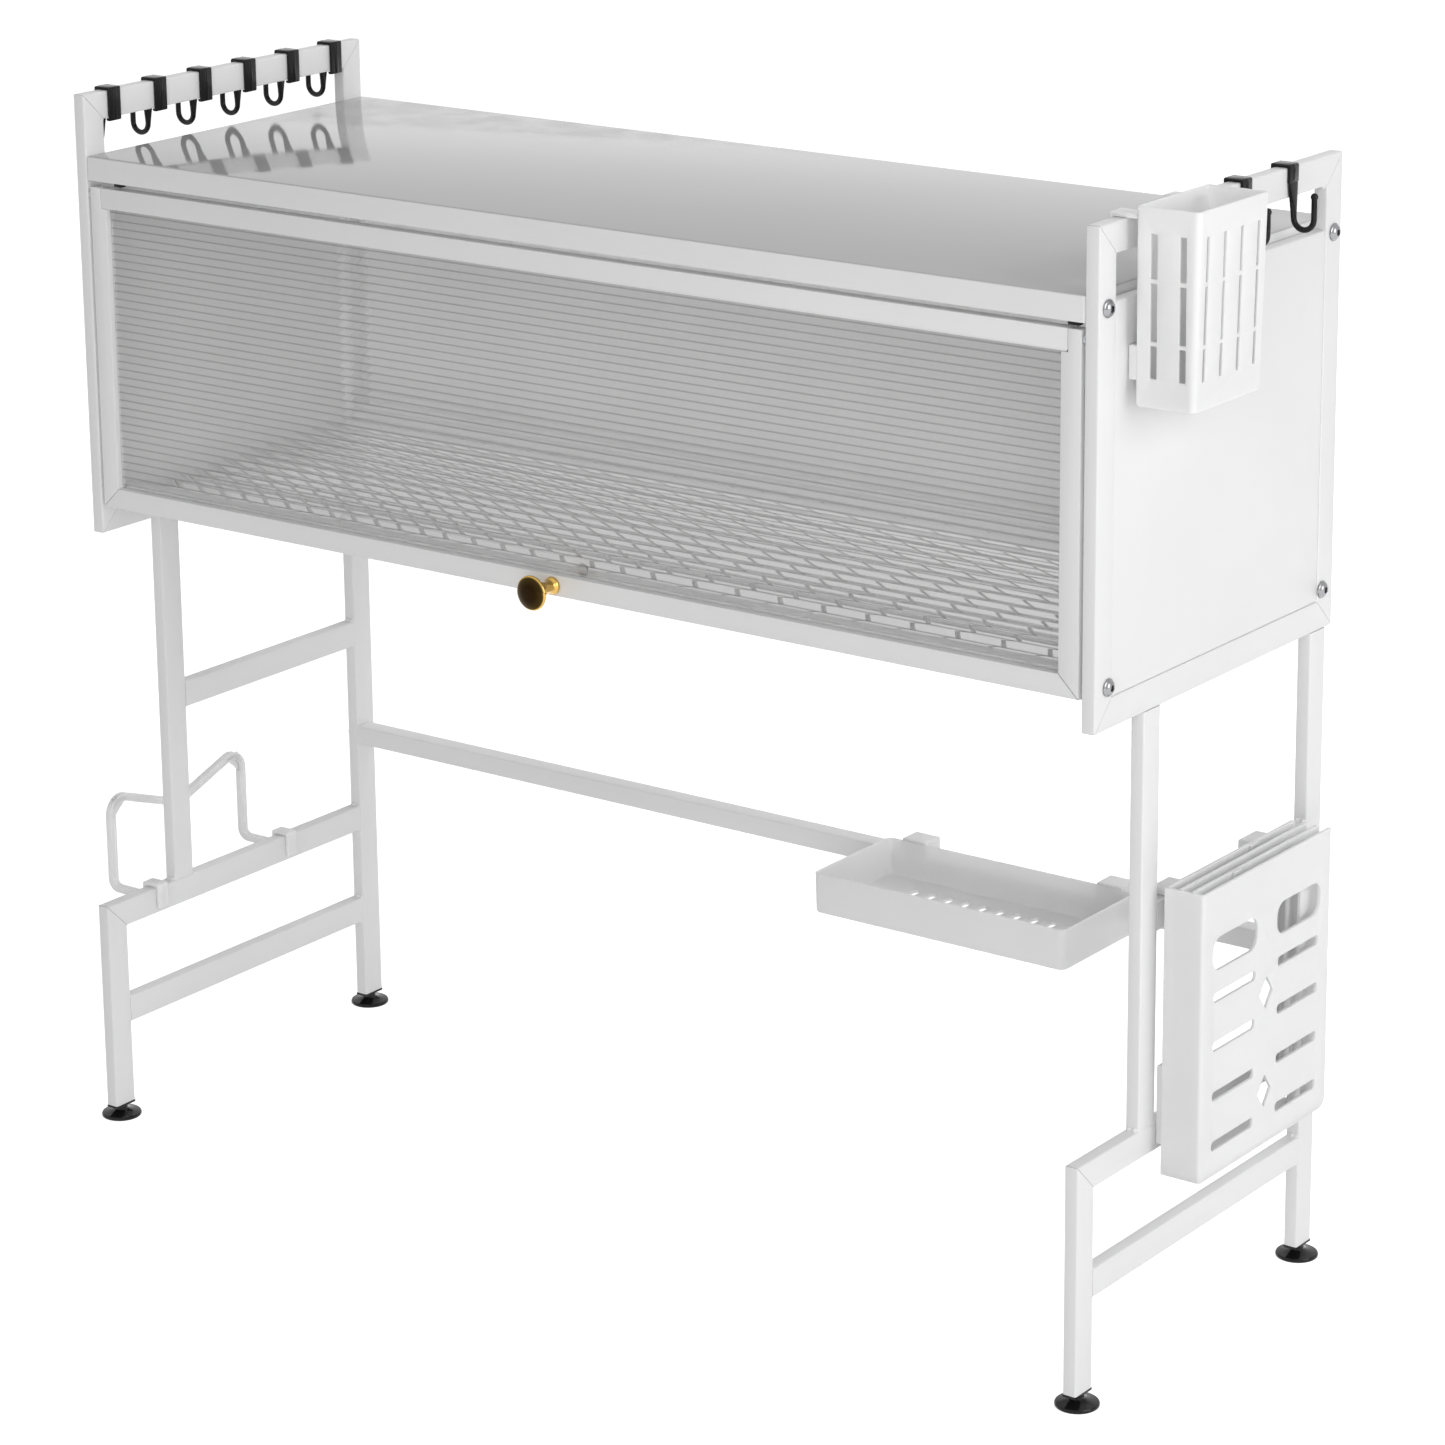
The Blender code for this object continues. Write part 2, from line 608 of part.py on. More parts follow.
def build_shelf(rack):
    """Two rails bolted between the side frames, and the wire grid welded between their lower edges."""
    for tag, front in (("front", SHELF_RAIL_BACK), ("rear", DEPTH - SHELF_RAIL_BACK - SHELF_RAIL_T)):
        low = (-FACE_IN + GAP, front, RAIL_Z)
        high = (FACE_IN - GAP, front + SHELF_RAIL_T, RAIL_Z + SHELF_RAIL_H)
        rail = rack.piece("shelf_rail_" + tag, boxes("shelf_rail_" + tag, [(low, high)]), "white_steel")
        hollow(rack, rail, "shelf_rail_" + tag, low, high)
        y = front + SHELF_RAIL_T / 2
        table = []
        for side in (-1, 1):
            start = (side * (FACE_IN + OVERRUN), y, LOW_BOLT_Z)
            end = (side * (FACE_IN - BOLT_BITE - GAP), y, LOW_BOLT_Z)
            table.append((start, end))
        holes = rods("rail_holes_" + tag, table, BOLT_D / 2 + GAP, "X")
        combine(rail, rack.helper("rail_holes_" + tag, holes), "DIFFERENCE")
    half_x = FACE_IN - GRID_MARGIN
    front = SHELF_RAIL_BACK + SHELF_RAIL_T + GAP
    rear = DEPTH - SHELF_RAIL_BACK - SHELF_RAIL_T - GAP
    columns = round(2 * half_x / GRID_PITCH_X)
    rows = round((rear - front) / GRID_PITCH_Y)
    shape = bmesh.new()
    size_x, size_y = half_x - WIRE / 2, (rear - front - WIRE) / 2
    matrix = Matrix.Diagonal((size_x, size_y, 1, 1))
    bmesh.ops.create_grid(shape, x_segments=columns, y_segments=rows, size=1, matrix=matrix)
    mesh = bpy.data.meshes.new("wire_shelf")
    shape.to_mesh(mesh)
    shape.free()
    place = (0, (front + rear) / 2, RAIL_Z + GAP + WIRE / 2)
    grid = rack.piece("wire_shelf", mesh, "white_steel", place)
    modifier = grid.modifiers.new("wires", "WIREFRAME")
    modifier.thickness = WIRE
    modifier.use_even_offset = True
    modifier.use_boundary = True
    modifier.use_replace = True


def build_leg_frames(rack):
    """Welded tube frames: a stepped base, an upper front leg, a rear leg and three rails."""
    rear_in = LEG_REAR - TUBE_D
    front = -BASE_STEP
    top = SIDE_BOTTOM - GAP
    base, low, high = (LEG_BOTTOM + rail for rail in (BASE_RAIL_TOP, LOW_RAIL_TOP, HIGH_RAIL_TOP))
    outline = [
        (UPPER_LEG_BACK, top), (UPPER_LEG_BACK, base), (front, base), (front, LEG_BOTTOM),
        (front + TUBE_D, LEG_BOTTOM), (front + TUBE_D, low - TUBE_D), (rear_in, low - TUBE_D),
        (rear_in, LEG_BOTTOM), (LEG_REAR, LEG_BOTTOM), (LEG_REAR, top), (rear_in, top),
        (rear_in, high), (UPPER_LEG_BACK + TUBE_D, high), (UPPER_LEG_BACK + TUBE_D, top)]
    windows = [
        rectangle(front + TUBE_D, low, rear_in, base - TUBE_D),
        rectangle(UPPER_LEG_BACK + TUBE_D, base, rear_in, high - TUBE_D)]
    bore = []
    for y, z in inset(outline, TUBE_WALL):
        if z < LEG_BOTTOM + 2 * TUBE_WALL:
            z = LEG_BOTTOM - OVERRUN
        elif z > top - 2 * TUBE_WALL:
            z = top + OVERRUN
        bore.append((y, z))
    for tag, side in (("left", -1), ("right", 1)):
        middle = side * (FACE_OUT - TUBE_W / 2)
        mesh = plate("leg_frame_" + tag, outline, TUBE_W, windows)
        legs = rack.piece("leg_frame_" + tag, mesh, "white_steel", (middle, 0, 0), ALONG_X)
        inner_windows = [inset(window, -TUBE_WALL) for window in windows]
        mesh = plate("leg_bore_" + tag, bore, TUBE_W - 2 * TUBE_WALL, inner_windows)
        combine(legs, rack.helper("leg_bore_" + tag, mesh, (middle, 0, 0), ALONG_X), "DIFFERENCE")
        reach = TUBE_W / 2 + OVERRUN
        axis = [((middle - reach, CROSSBAR_Y, CROSSBAR_Z), (middle + reach, CROSSBAR_Y, CROSSBAR_Z))]
        mesh = rods("leg_bolt_hole_" + tag, axis, BOLT_D / 2 + GAP, "X")
        combine(legs, rack.helper("leg_bolt_hole_" + tag, mesh), "DIFFERENCE")


def build_crossbar(rack):
    """The square bar between the rear legs."""
    low_y, high_y = span(CROSSBAR_Y, CROSSBAR)
    low_z, high_z = span(CROSSBAR_Z, CROSSBAR)
    low, high = (-FACE_IN + GAP, low_y, low_z), (FACE_IN - GAP, high_y, high_z)
    bar = rack.piece("crossbar", boxes("crossbar", [(low, high)]), "white_steel")
    hollow(rack, bar, "crossbar", low, high)
    table = []
    for side in (-1, 1):
        start = (side * (FACE_IN + OVERRUN), CROSSBAR_Y, CROSSBAR_Z)
        end = (side * (FACE_IN - BOLT_BITE - GAP), CROSSBAR_Y, CROSSBAR_Z)
        table.append((start, end))
    holes = rods("crossbar_holes", table, BOLT_D / 2 + GAP, "X")
    combine(bar, rack.helper("crossbar_holes", holes), "DIFFERENCE")


def build_connectors(rack):
    """Steel blocks that join the legs to the side frames, half in each."""
    for tag, side in (("left", -1), ("right", 1)):
        table = sockets(side, SIDE_BOTTOM - CONNECTOR_DOWN, SIDE_BOTTOM + CONNECTOR_UP, CONNECTOR_EASE)
        for where, (low, high) in zip(("front", "rear"), table):
            name = "leg_connector_" + tag + "_" + where
            rack.piece(name, boxes(name, [(low, high)]), "zinc_steel")


def build_bolts(rack):
    """Dome-head bolts: four through each side frame, one through each rear leg."""
    radius = BOLT_HEAD_D / 2
    shank = TUBE_W + BOLT_BITE + GAP
    profile = [(0, BOLT_HEAD_H)]
    for width, height in zip(HEAD_WIDTH_SHARES[::-1], HEAD_HEIGHT_SHARES[::-1]):
        profile.append((radius * width, BOLT_HEAD_H * height))
    profile += [(radius, 0), (BOLT_D / 2, 0), (BOLT_D / 2, -shank), (0, -shank)]
    mesh = turned("frame_bolt", profile)
    for tag, side in (("left", -1), ("right", 1)):
        places = {"frame_bolt_" + tag + "_" + key: spot for key, spot in frame_bolts().items()}
        places["crossbar_bolt_" + tag] = (CROSSBAR_Y, CROSSBAR_Z)
        for name, (y, z) in places.items():
            place = (side * (FACE_OUT + GAP), y, z)
            bolt = rack.piece(name, mesh, "chrome", place, (0, side * math.pi / 2, 0), smooth=True)
            lathe(bolt, 12)


def build_feet(rack):
    """Tube-end plugs and the screw-in levelling feet."""
    stem = FOOT_STEM_D / 2
    neck = FOOT_NECK_D / 2
    pad = FOOT_D / 2
    neck_top = FOOT_H - PLUG_FLANGE - 2 * GAP
    profile = [
        (0, FOOT_H + FOOT_STEM_UP), (stem, FOOT_H + FOOT_STEM_UP), (stem, neck_top), (neck, neck_top),
        (neck, (neck_top + FOOT_PAD) / 2), (pad - FOOT_PAD / 2, FOOT_PAD), (pad, FOOT_PAD / 2),
        (pad, 0), (0, 0)]
    foot_mesh = turned("foot", profile)
    spots = {"front": TUBE_D / 2 - BASE_STEP, "rear": LEG_REAR - TUBE_D / 2}
    for tag, side in (("left", -1), ("right", 1)):
        for where, y in spots.items():
            x = side * (FACE_OUT - TUBE_W / 2)
            name = "foot_plug_" + tag + "_" + where
            flange_x, flange_y = span(x, TUBE_W), span(y, TUBE_D)
            core_x = span(x, TUBE_W - 2 * TUBE_WALL - 2 * GAP)
            core_y = span(y, TUBE_D - 2 * TUBE_WALL - 2 * GAP)
            floor = FOOT_H - GAP - PLUG_FLANGE
            flange = [((flange_x[0], flange_y[0], floor), (flange_x[1], flange_y[1], FOOT_H - GAP))]
            core_low = (core_x[0], core_y[0], FOOT_H - GAP - PLUG_FLANGE / 2)
            core = [(core_low, (core_x[1], core_y[1], FOOT_H + PLUG_UP))]
            plug = rack.piece(name, boxes(name, flange), "black_plastic")
            combine(plug, rack.helper("core_" + name, boxes("core_" + name, core)), "UNION")
            bore = [((x, y, floor - OVERRUN), (x, y, FOOT_H + PLUG_UP + OVERRUN))]
            bore_mesh = rods("bore_" + name, bore, stem + GAP, "Z")
            combine(plug, rack.helper("bore_" + name, bore_mesh), "DIFFERENCE")
            foot = rack.piece("foot_" + tag + "_" + where, foot_mesh, "black_plastic", (x, y, 0), smooth=True)
            lathe(foot, 20)


def build_door(rack):
    """The flip-up door: four members round a fluted sheet, hung on two pins."""
    outer, inner = DOOR_HALF, DOOR_HALF - DOOR_FACE
    bottom, top = DOOR_BOTTOM, DOOR_TOP
    lap = inner + DOOR_LAP
    notch = top - DOOR_FACE
    seam = GAP / 2
    groove_low = (-inner - DOOR_GROOVE, DOOR_PANEL_IN - GAP, bottom + DOOR_FACE - DOOR_GROOVE)
    groove_high = (inner + DOOR_GROOVE, DOOR_PANEL_IN + DOOR_PANEL_T + GAP, top - DOOR_FACE + DOOR_GROOVE)
    groove = rack.helper("door_groove", boxes("door_groove", [(groove_low, groove_high)]))
    middle = (0, DOOR_T / 2, 0)

    top_mesh = plate("door_rail_top", rectangle(-lap + seam, notch + seam, lap - seam, top), DOOR_T)
    rails = [rack.piece("door_rail_top", top_mesh, "white_steel", middle, ALONG_Y)]
    slant = GAP * math.sin(math.pi / 4)
    bottom_outline = [
        (-outer + slant, bottom), (outer - slant, bottom),
        (inner - slant, bottom + DOOR_FACE), (-inner + slant, bottom + DOOR_FACE)]
    bottom_mesh = plate("door_rail_bottom", bottom_outline, DOOR_T)
    bottom_rail = rack.piece("door_rail_bottom", bottom_mesh, "white_steel", middle, ALONG_Y)
    rails.append(bottom_rail)
    for tag, side in (("left", -1), ("right", 1)):
        outline = [
            (side * outer, bottom + slant), (side * outer, top), (side * (lap + seam), top),
            (side * (lap + seam), notch - seam), (side * inner, notch - seam),
            (side * inner, bottom + DOOR_FACE + slant)]
        name = "door_stile_" + tag
        stile = rack.piece(name, plate(name, outline, DOOR_T), "white_steel", middle, ALONG_Y)
        rails.append(stile)
        start = (side * (outer + OVERRUN), PIVOT_Y, PIVOT_Z)
        end = (side * (outer - PIVOT_BITE - GAP), PIVOT_Y, PIVOT_Z)
        bore = rods("pivot_bore_" + tag, [(start, end)], PIVOT_D / 2 + GAP, "X")
        combine(stile, rack.helper("pivot_bore_" + tag, bore), "DIFFERENCE")
    for rail in rails:
        combine(rail, groove, "DIFFERENCE")

    low = (groove_low[0] + GAP, DOOR_PANEL_IN, groove_low[2] + GAP)
    high = (groove_high[0] - GAP, DOOR_PANEL_IN + DOOR_PANEL_T, groove_high[2] - GAP)
    rack.piece("door_panel", boxes("door_panel", [(low, high)]), "fluted_plastic")

    knob_z = bottom + DOOR_FACE / 2
    rear = DOOR_T - SCREW_HEAD_H - GAP
    hole_end = (0, DOOR_T + OVERRUN, knob_z)
    shank_hole = rods("knob_hole", [((0, -OVERRUN, knob_z), hole_end)], SCREW_D / 2 + GAP, "Y")
    head_hole = rods("knob_sink", [((0, rear, knob_z), hole_end)], SCREW_HEAD_D / 2 + GAP, "Y")
    combine(bottom_rail, rack.helper("knob_hole", shank_hole), "DIFFERENCE")
    combine(bottom_rail, rack.helper("knob_sink", head_hole), "DIFFERENCE")

    neck, base, disc, bore = KNOB_NECK_D / 2, KNOB_BASE_D / 2, KNOB_D / 2, SCREW_D / 2 + GAP
    disc_back = KNOB_OUT - KNOB_DISC
    profile = [(disc * width, disc_back + KNOB_DISC * height) for width, height in KNOB_DISC_SHARES]
    profile += [
        (neck, disc_back), (neck, disc_back / 2), (base, KNOB_FOOT), (base, GAP), (bore, GAP),
        (bore, KNOB_BORE + GAP), (0, KNOB_BORE + GAP)]
    knob_mesh = turned("door_knob", profile)
    knob = rack.piece("door_knob", knob_mesh, "gold_brass", (0, 0, knob_z), ALONG_Y, smooth=True)
    lathe(knob, 24)
    head, shank = SCREW_HEAD_D / 2, SCREW_D / 2
    profile = [
        (0, KNOB_BORE), (shank, KNOB_BORE), (shank, -rear - GAP), (head, -rear - GAP),
        (head, -DOOR_T + GAP), (0, -DOOR_T + GAP)]
    screw_mesh = turned("door_knob_screw", profile)
    screw = rack.piece("door_knob_screw", screw_mesh, "zinc_steel", (0, 0, knob_z), ALONG_Y, smooth=True)
    lathe(screw, 12)

    back = DOOR_PANEL_IN + DOOR_PANEL_T + GAP
    bumper_z = bottom + DOOR_FACE + BUMPER_D / 2 + GAP
    ends = [((BUMPER_X, back, bumper_z), (BUMPER_X, DOOR_T, bumper_z))]
    rack.piece("door_bumper", rods("door_bumper", ends, BUMPER_D / 2, "Y", 16), "clear_plastic", smooth=True)

    collar, pin = PIVOT_COLLAR_D / 2, PIVOT_D / 2
    profile = [
        (0, PIVOT_BITE), (pin, PIVOT_BITE), (pin, -GAP), (collar, -GAP), (collar, -GAP - PIVOT_COLLAR_T),
        (pin, -GAP - PIVOT_COLLAR_T), (pin, -DOOR_SIDE_GAP - PIVOT_BITE), (0, -DOOR_SIDE_GAP - PIVOT_BITE)]
    mesh = turned("door_pivot", profile)
    for tag, side in (("left", -1), ("right", 1)):
        place = (side * FACE_IN, PIVOT_Y, PIVOT_Z)
        turn = (0, side * math.pi / 2, 0)
        lathe(rack.piece("door_pivot_" + tag, mesh, "zinc_steel", place, turn, smooth=True), 12)


def build_hooks(rack):
    """Clip-on hooks: a saddle over the rail, a tapered stem and a round J with a ball tip."""
    half = TUBE_W / 2 + GAP
    inner, outer = -half - HOOK_T, half + HOOK_T
    under = -TUBE_D - GAP
    profile = [
        (inner, GAP + HOOK_T), (outer, GAP + HOOK_T), (outer, -TUBE_D), (half, -TUBE_D), (half, GAP),
        (-half, GAP), (-half, under), (-half + HOOK_LIP, under), (-half + HOOK_LIP / 2, under - HOOK_T),
        (inner, under - HOOK_T)]
    wire = HOOK_WIRE / 2
    stem_x = half + wire
    stem = bmesh.new()
    bmesh.ops.create_cube(stem, size=1)
    stem_top, stem_low = -TUBE_D + HOOK_T, -HOOK_DROP
    for vert in stem.verts:
        high = vert.co.z > 0
        width = HOOK_W - HOOK_T / 4 if high else HOOK_WIRE * HOOK_STEM_WIDTH_SHARE
        depth = outer - GAP / 2 if high else half + HOOK_WIRE * HOOK_STEM_DEPTH_SHARE
        vert.co.x = half + GAP / 2 if vert.co.x < 0 else depth
        vert.co.y = math.copysign(width / 2, vert.co.y)
        vert.co.z = stem_top if high else stem_low
    stem_mesh = finish("hook_stem", stem)
    points = [(stem_x, 0, -HOOK_TIE)]
    for i in range(HOOK_BEND_STEPS + 1):
        angle = math.pi * i / HOOK_BEND_STEPS
        out = HOOK_BEND * (1 - math.cos(angle))
        points.append((stem_x + out, 0, -HOOK_DROP - HOOK_BEND * math.sin(angle)))
    points.append((stem_x + 2 * HOOK_BEND, 0, -HOOK_TIP))
    bend_mesh = tube("hook_bend", points, wire, 1)
    ball = bmesh.new()
    tip = Matrix.Translation((stem_x + 2 * HOOK_BEND, 0, -HOOK_TIP))
    bmesh.ops.create_uvsphere(ball, u_segments=8, v_segments=6, radius=HOOK_BALL_D / 2, matrix=tip)
    ball_mesh = finish("hook_ball", ball)
    saddle_mesh = plate("hook_saddle", profile, HOOK_W)

    pitch = (DEPTH - LEFT_LAST_IN - LEFT_FIRST) / (LEFT_HOOKS - 1)
    places = [("left", -1, LEFT_FIRST + i * pitch, i) for i in range(LEFT_HOOKS)]
    places += [("right", 1, RIGHT_FIRST + i * RIGHT_PITCH, i) for i in range(RIGHT_HOOKS)]
    for tag, side, y, i in places:
        name = "hook_" + tag + "_" + str(i + 1)
        place = (side * (FACE_OUT - TUBE_W / 2), y, SIDE_TOP)
        turn = 0 if side > 0 else math.pi
        hook = rack.piece(name, saddle_mesh, "black_plastic", place, (math.pi / 2, 0, turn))
        for part, mesh in (("stem", stem_mesh), ("bend", bend_mesh), ("ball", ball_mesh)):
            combine(hook, rack.helper(name + "_" + part, mesh, place, (0, 0, turn)), "UNION")


def clip_outline(rail_w, arm, down, rise):
    """A clip over a rail, with its middle at the rail's middle and 0 at the rail's top."""
    half = rail_w / 2 + GAP
    return [
        (arm, GAP), (arm, GAP + rise), (-half - CLIP_T, GAP + rise), (-half - CLIP_T, -down),
        (-half, -down), (-half, GAP)]


def build_caddy(rack):
    """The tall utensil caddy on the right rail: an open-topped box with drain slots."""
    inner = FACE_OUT + STANDOFF
    outer = inner + CADDY_X
    front, rear = CADDY_FRONT, CADDY_FRONT + CADDY_Y
    top = SIDE_TOP + CADDY_RISE
    low = (inner, front, top - CADDY_Z)
    mesh = pan("utensil_caddy", low, (outer, rear, top), "+Z")
    for vert in mesh.vertices:
        if vert.co.z < top - CADDY_Z / 2 and vert.co.x > inner + CADDY_X / 2:
            vert.co.x -= CADDY_DRAFT
    caddy = rack.piece("utensil_caddy", mesh, "white_plastic")
    thicken(caddy, WALL)
    slots = []
    for low_share, high_share in CADDY_ROW_SHARES:
        low_z, high_z = top - CADDY_Z * high_share, top - CADDY_Z * low_share
        for share in CADDY_FRONT_SHARES:
            low_x, high_x = span(inner + CADDY_X * share, CADDY_SLOT_FRONT)
            for wall in (front, rear - WALL):
                slots.append(((low_x, wall - OVERRUN, low_z), (high_x, wall + WALL + OVERRUN, high_z)))
        for share in CADDY_SIDE_SHARES:
            low_y, high_y = span(front + CADDY_Y * share, CADDY_SLOT_SIDE)
            start = outer - WALL - CADDY_DRAFT - OVERRUN
            slots.append(((start, low_y, low_z), (outer + OVERRUN, high_y, high_z)))
    combine(caddy, rack.helper("caddy_slots", boxes("caddy_slots", slots)), "DIFFERENCE")
    middle = FACE_OUT - TUBE_W / 2
    arm = inner + WALL / 2 - middle
    for i, share in enumerate(CADDY_CLIP_SHARES):
        y = front + CADDY_Y * share
        mesh = plate("caddy_clip", clip_outline(TUBE_W, arm, CLIP_DOWN, CLIP_T), CADDY_CLIP_W)
        clip = rack.helper("caddy_clip_" + str(i), mesh, (middle, y, SIDE_TOP), ALONG_Y)
        combine(caddy, clip, "UNION")
        low_z = top - CADDY_Z + CADDY_TAB_UP
        low_y, high_y = span(y, CADDY_CLIP_W / 2)
        start = (FACE_OUT + GAP, low_y, low_z)
        end = (inner + WALL / 2, high_y, low_z + CADDY_TAB_H)
        combine(caddy, rack.helper("caddy_tab_" + str(i), boxes("caddy_tab", [(start, end)])), "UNION")


def diamond(middle_x, middle_y, width, height):
    return [
        (middle_x - width / 2, middle_y), (middle_x, middle_y - height / 2),
        (middle_x + width / 2, middle_y), (middle_x, middle_y + height / 2)]


def build_board_holder(rack):
    """The cutting-board holder on the right high rail: a slotted outer plate and three open inner frames."""
    inner = FACE_OUT + STANDOFF
    rail_top = LEG_BOTTOM + HIGH_RAIL_TOP
    top = rail_top + BOARD_RISE
    bottom = top - BOARD_Z
    front, rear = BOARD_FRONT, BOARD_FRONT + BOARD_Y
    outline = fillet(rectangle(front, bottom, rear, top), (0, BOARD_CORNER, 0, 0), 4)
    middle = inner + BOARD_X / 2
    mesh = plate("board_holder", outline, BOARD_X)
    holder = rack.piece("board_holder", mesh, "white_plastic", (middle, 0, 0), ALONG_X)
    lane = (BOARD_X - (BOARD_SLOTS + 1) * BOARD_PLATE) / BOARD_SLOTS
    lanes = []
    for i in range(BOARD_SLOTS):
        low_x = inner + BOARD_PLATE + i * (lane + BOARD_PLATE)
        low = (low_x, front + BOARD_PLATE, bottom + BOARD_PLATE)
        lanes.append((low, (low_x + lane, rear + OVERRUN, top + OVERRUN)))
    combine(holder, rack.helper("board_lanes", boxes("board_lanes", lanes)), "DIFFERENCE")
    columns = [front + BOARD_Y * share for share in BOARD_COLUMN_SHARES]
    cuts = []
    for y in columns:
        z = top - BOARD_Z * BOARD_HOLE_SHARE
        low_y, high_y = span(y, BOARD_HOLE_W)
        low_z, high_z = span(z, BOARD_HOLE_H)
        round_corners = [BOARD_HOLE_H * BOARD_HOLE_ROUND_SHARE] * 4
        cuts.append(fillet(rectangle(low_y, low_z, high_y, high_z), round_corners, 3))
        for share in BOARD_ROW_SHARES:
            low_y, high_y = span(y, BOARD_SLOT_W)
            low_z, high_z = span(top - BOARD_Z * share, BOARD_SLOT_H)
            round_corners = [BOARD_SLOT_H * BOARD_SLOT_ROUND_SHARE] * 4
            cuts.append(fillet(rectangle(low_y, low_z, high_y, high_z), round_corners, 2))
    for share in BOARD_DIAMOND_SHARES:
        y = front + BOARD_Y / 2
        cuts.append(diamond(y, top - BOARD_Z * share, BOARD_DIAMOND_W, BOARD_DIAMOND_H))
    mesh = plate("board_cuts", cuts[0], lane + BOARD_PLATE, cuts[1:])
    outer = inner + BOARD_X
    combine(holder, rack.helper("board_cuts", mesh, (outer, 0, 0), ALONG_X), "DIFFERENCE")
    start, stop = inner - OVERRUN, outer - BOARD_PLATE - lane / 2
    side, step = rear - BOARD_WINDOW_IN, top - BOARD_STEP_DOWN
    window = [
        (front + BOARD_WINDOW_IN, bottom + BOARD_WINDOW_LOW), (side, bottom + BOARD_WINDOW_LOW), (side, step),
        (side - BOARD_STEP_IN, step), (side - BOARD_STEP_IN, top - BOARD_WINDOW_TOP),
        (front + BOARD_WINDOW_IN, top - BOARD_WINDOW_TOP)]
    mesh = plate("board_window", window, stop - start)
    combine(holder, rack.helper("board_window", mesh, ((start + stop) / 2, 0, 0), ALONG_X), "DIFFERENCE")
    rail_middle = FACE_OUT - TUBE_W / 2
    arm = inner + BOARD_PLATE / 2 - rail_middle
    for i, share in enumerate(BOARD_CLIP_SHARES):
        y = front + BOARD_Y * share
        mesh = plate("board_clip", clip_outline(TUBE_W, arm, CLIP_DOWN, BOARD_CLIP_RISE), BOARD_CLIP_W)
        clip = rack.helper("board_clip_" + str(i), mesh, (rail_middle, y, rail_top), ALONG_Y)
        combine(holder, clip, "UNION")
    tab_in = BOARD_WINDOW_IN - BOARD_TAB_W / 2
    for i, y in enumerate((front + tab_in, rear - tab_in)):
        low_y, high_y = span(y, BOARD_TAB_W)
        start = (FACE_OUT + GAP, low_y, bottom + BOARD_TAB_UP)
        end = (inner + BOARD_PLATE / 2, high_y, bottom + BOARD_TAB_UP + BOARD_TAB_H)
        combine(holder, rack.helper("board_tab_" + str(i), boxes("board_tab", [(start, end)])), "UNION")


def build_tray(rack):
    """The soap tray on the crossbar: a shallow rounded pan with drain slots."""
    bar_top = FOOT_H + CROSSBAR_TOP
    top = bar_top + TRAY_RISE
    rear = LEG_REAR - TUBE_D - GAP
    right = FACE_IN - TRAY_RIGHT_IN
    left = right - TRAY_X
    outline = fillet(rectangle(left, rear - TRAY_Y, right, rear), [TRAY_CORNER] * 4, 3)
    mesh = plate("soap_tray", outline, TRAY_Z)
    tray = rack.piece("soap_tray", mesh, "white_plastic", (0, 0, top - TRAY_Z / 2))
    hollow_low = rectangle(left + WALL, rear - TRAY_Y + WALL, right - WALL, rear - WALL)
    hollow = fillet(hollow_low, [TRAY_CORNER - WALL] * 4, 3)
    mesh = plate("tray_hollow", hollow, TRAY_Z)
    combine(tray, rack.helper("tray_hollow", mesh, (0, 0, top - TRAY_Z / 2 + WALL)), "DIFFERENCE")
    drains = []
    first = (left + right) / 2 - TRAY_DRAIN_PITCH * (TRAY_DRAINS - 1) / 2
    for i in range(TRAY_DRAINS):
        low_x, high_x = span(first + i * TRAY_DRAIN_PITCH, TRAY_DRAIN_W)
        low_y, high_y = span(rear - TRAY_Y / 2 + TRAY_DRAIN_BACK, TRAY_DRAIN_L)
        low = (low_x, low_y, top - TRAY_Z - OVERRUN)
        drains.append((low, (high_x, high_y, top - TRAY_Z + WALL + OVERRUN)))
    combine(tray, rack.helper("tray_drains", boxes("tray_drains", drains)), "DIFFERENCE")
    arm = CROSSBAR / 2 + GAP + WALL / 2
    for i, x in enumerate((left + TRAY_CLIP_IN + TRAY_CLIP_W / 2, right - TRAY_CLIP_IN - TRAY_CLIP_W / 2)):
        mesh = plate("tray_clip", clip_outline(CROSSBAR, arm, CLIP_DOWN / 2, TRAY_CLIP_RISE), TRAY_CLIP_W)
        place = (x, CROSSBAR_Y, bar_top)
        turn = (math.pi / 2, 0, -math.pi / 2)
        combine(tray, rack.helper("tray_clip_" + str(i), mesh, place, turn), "UNION")


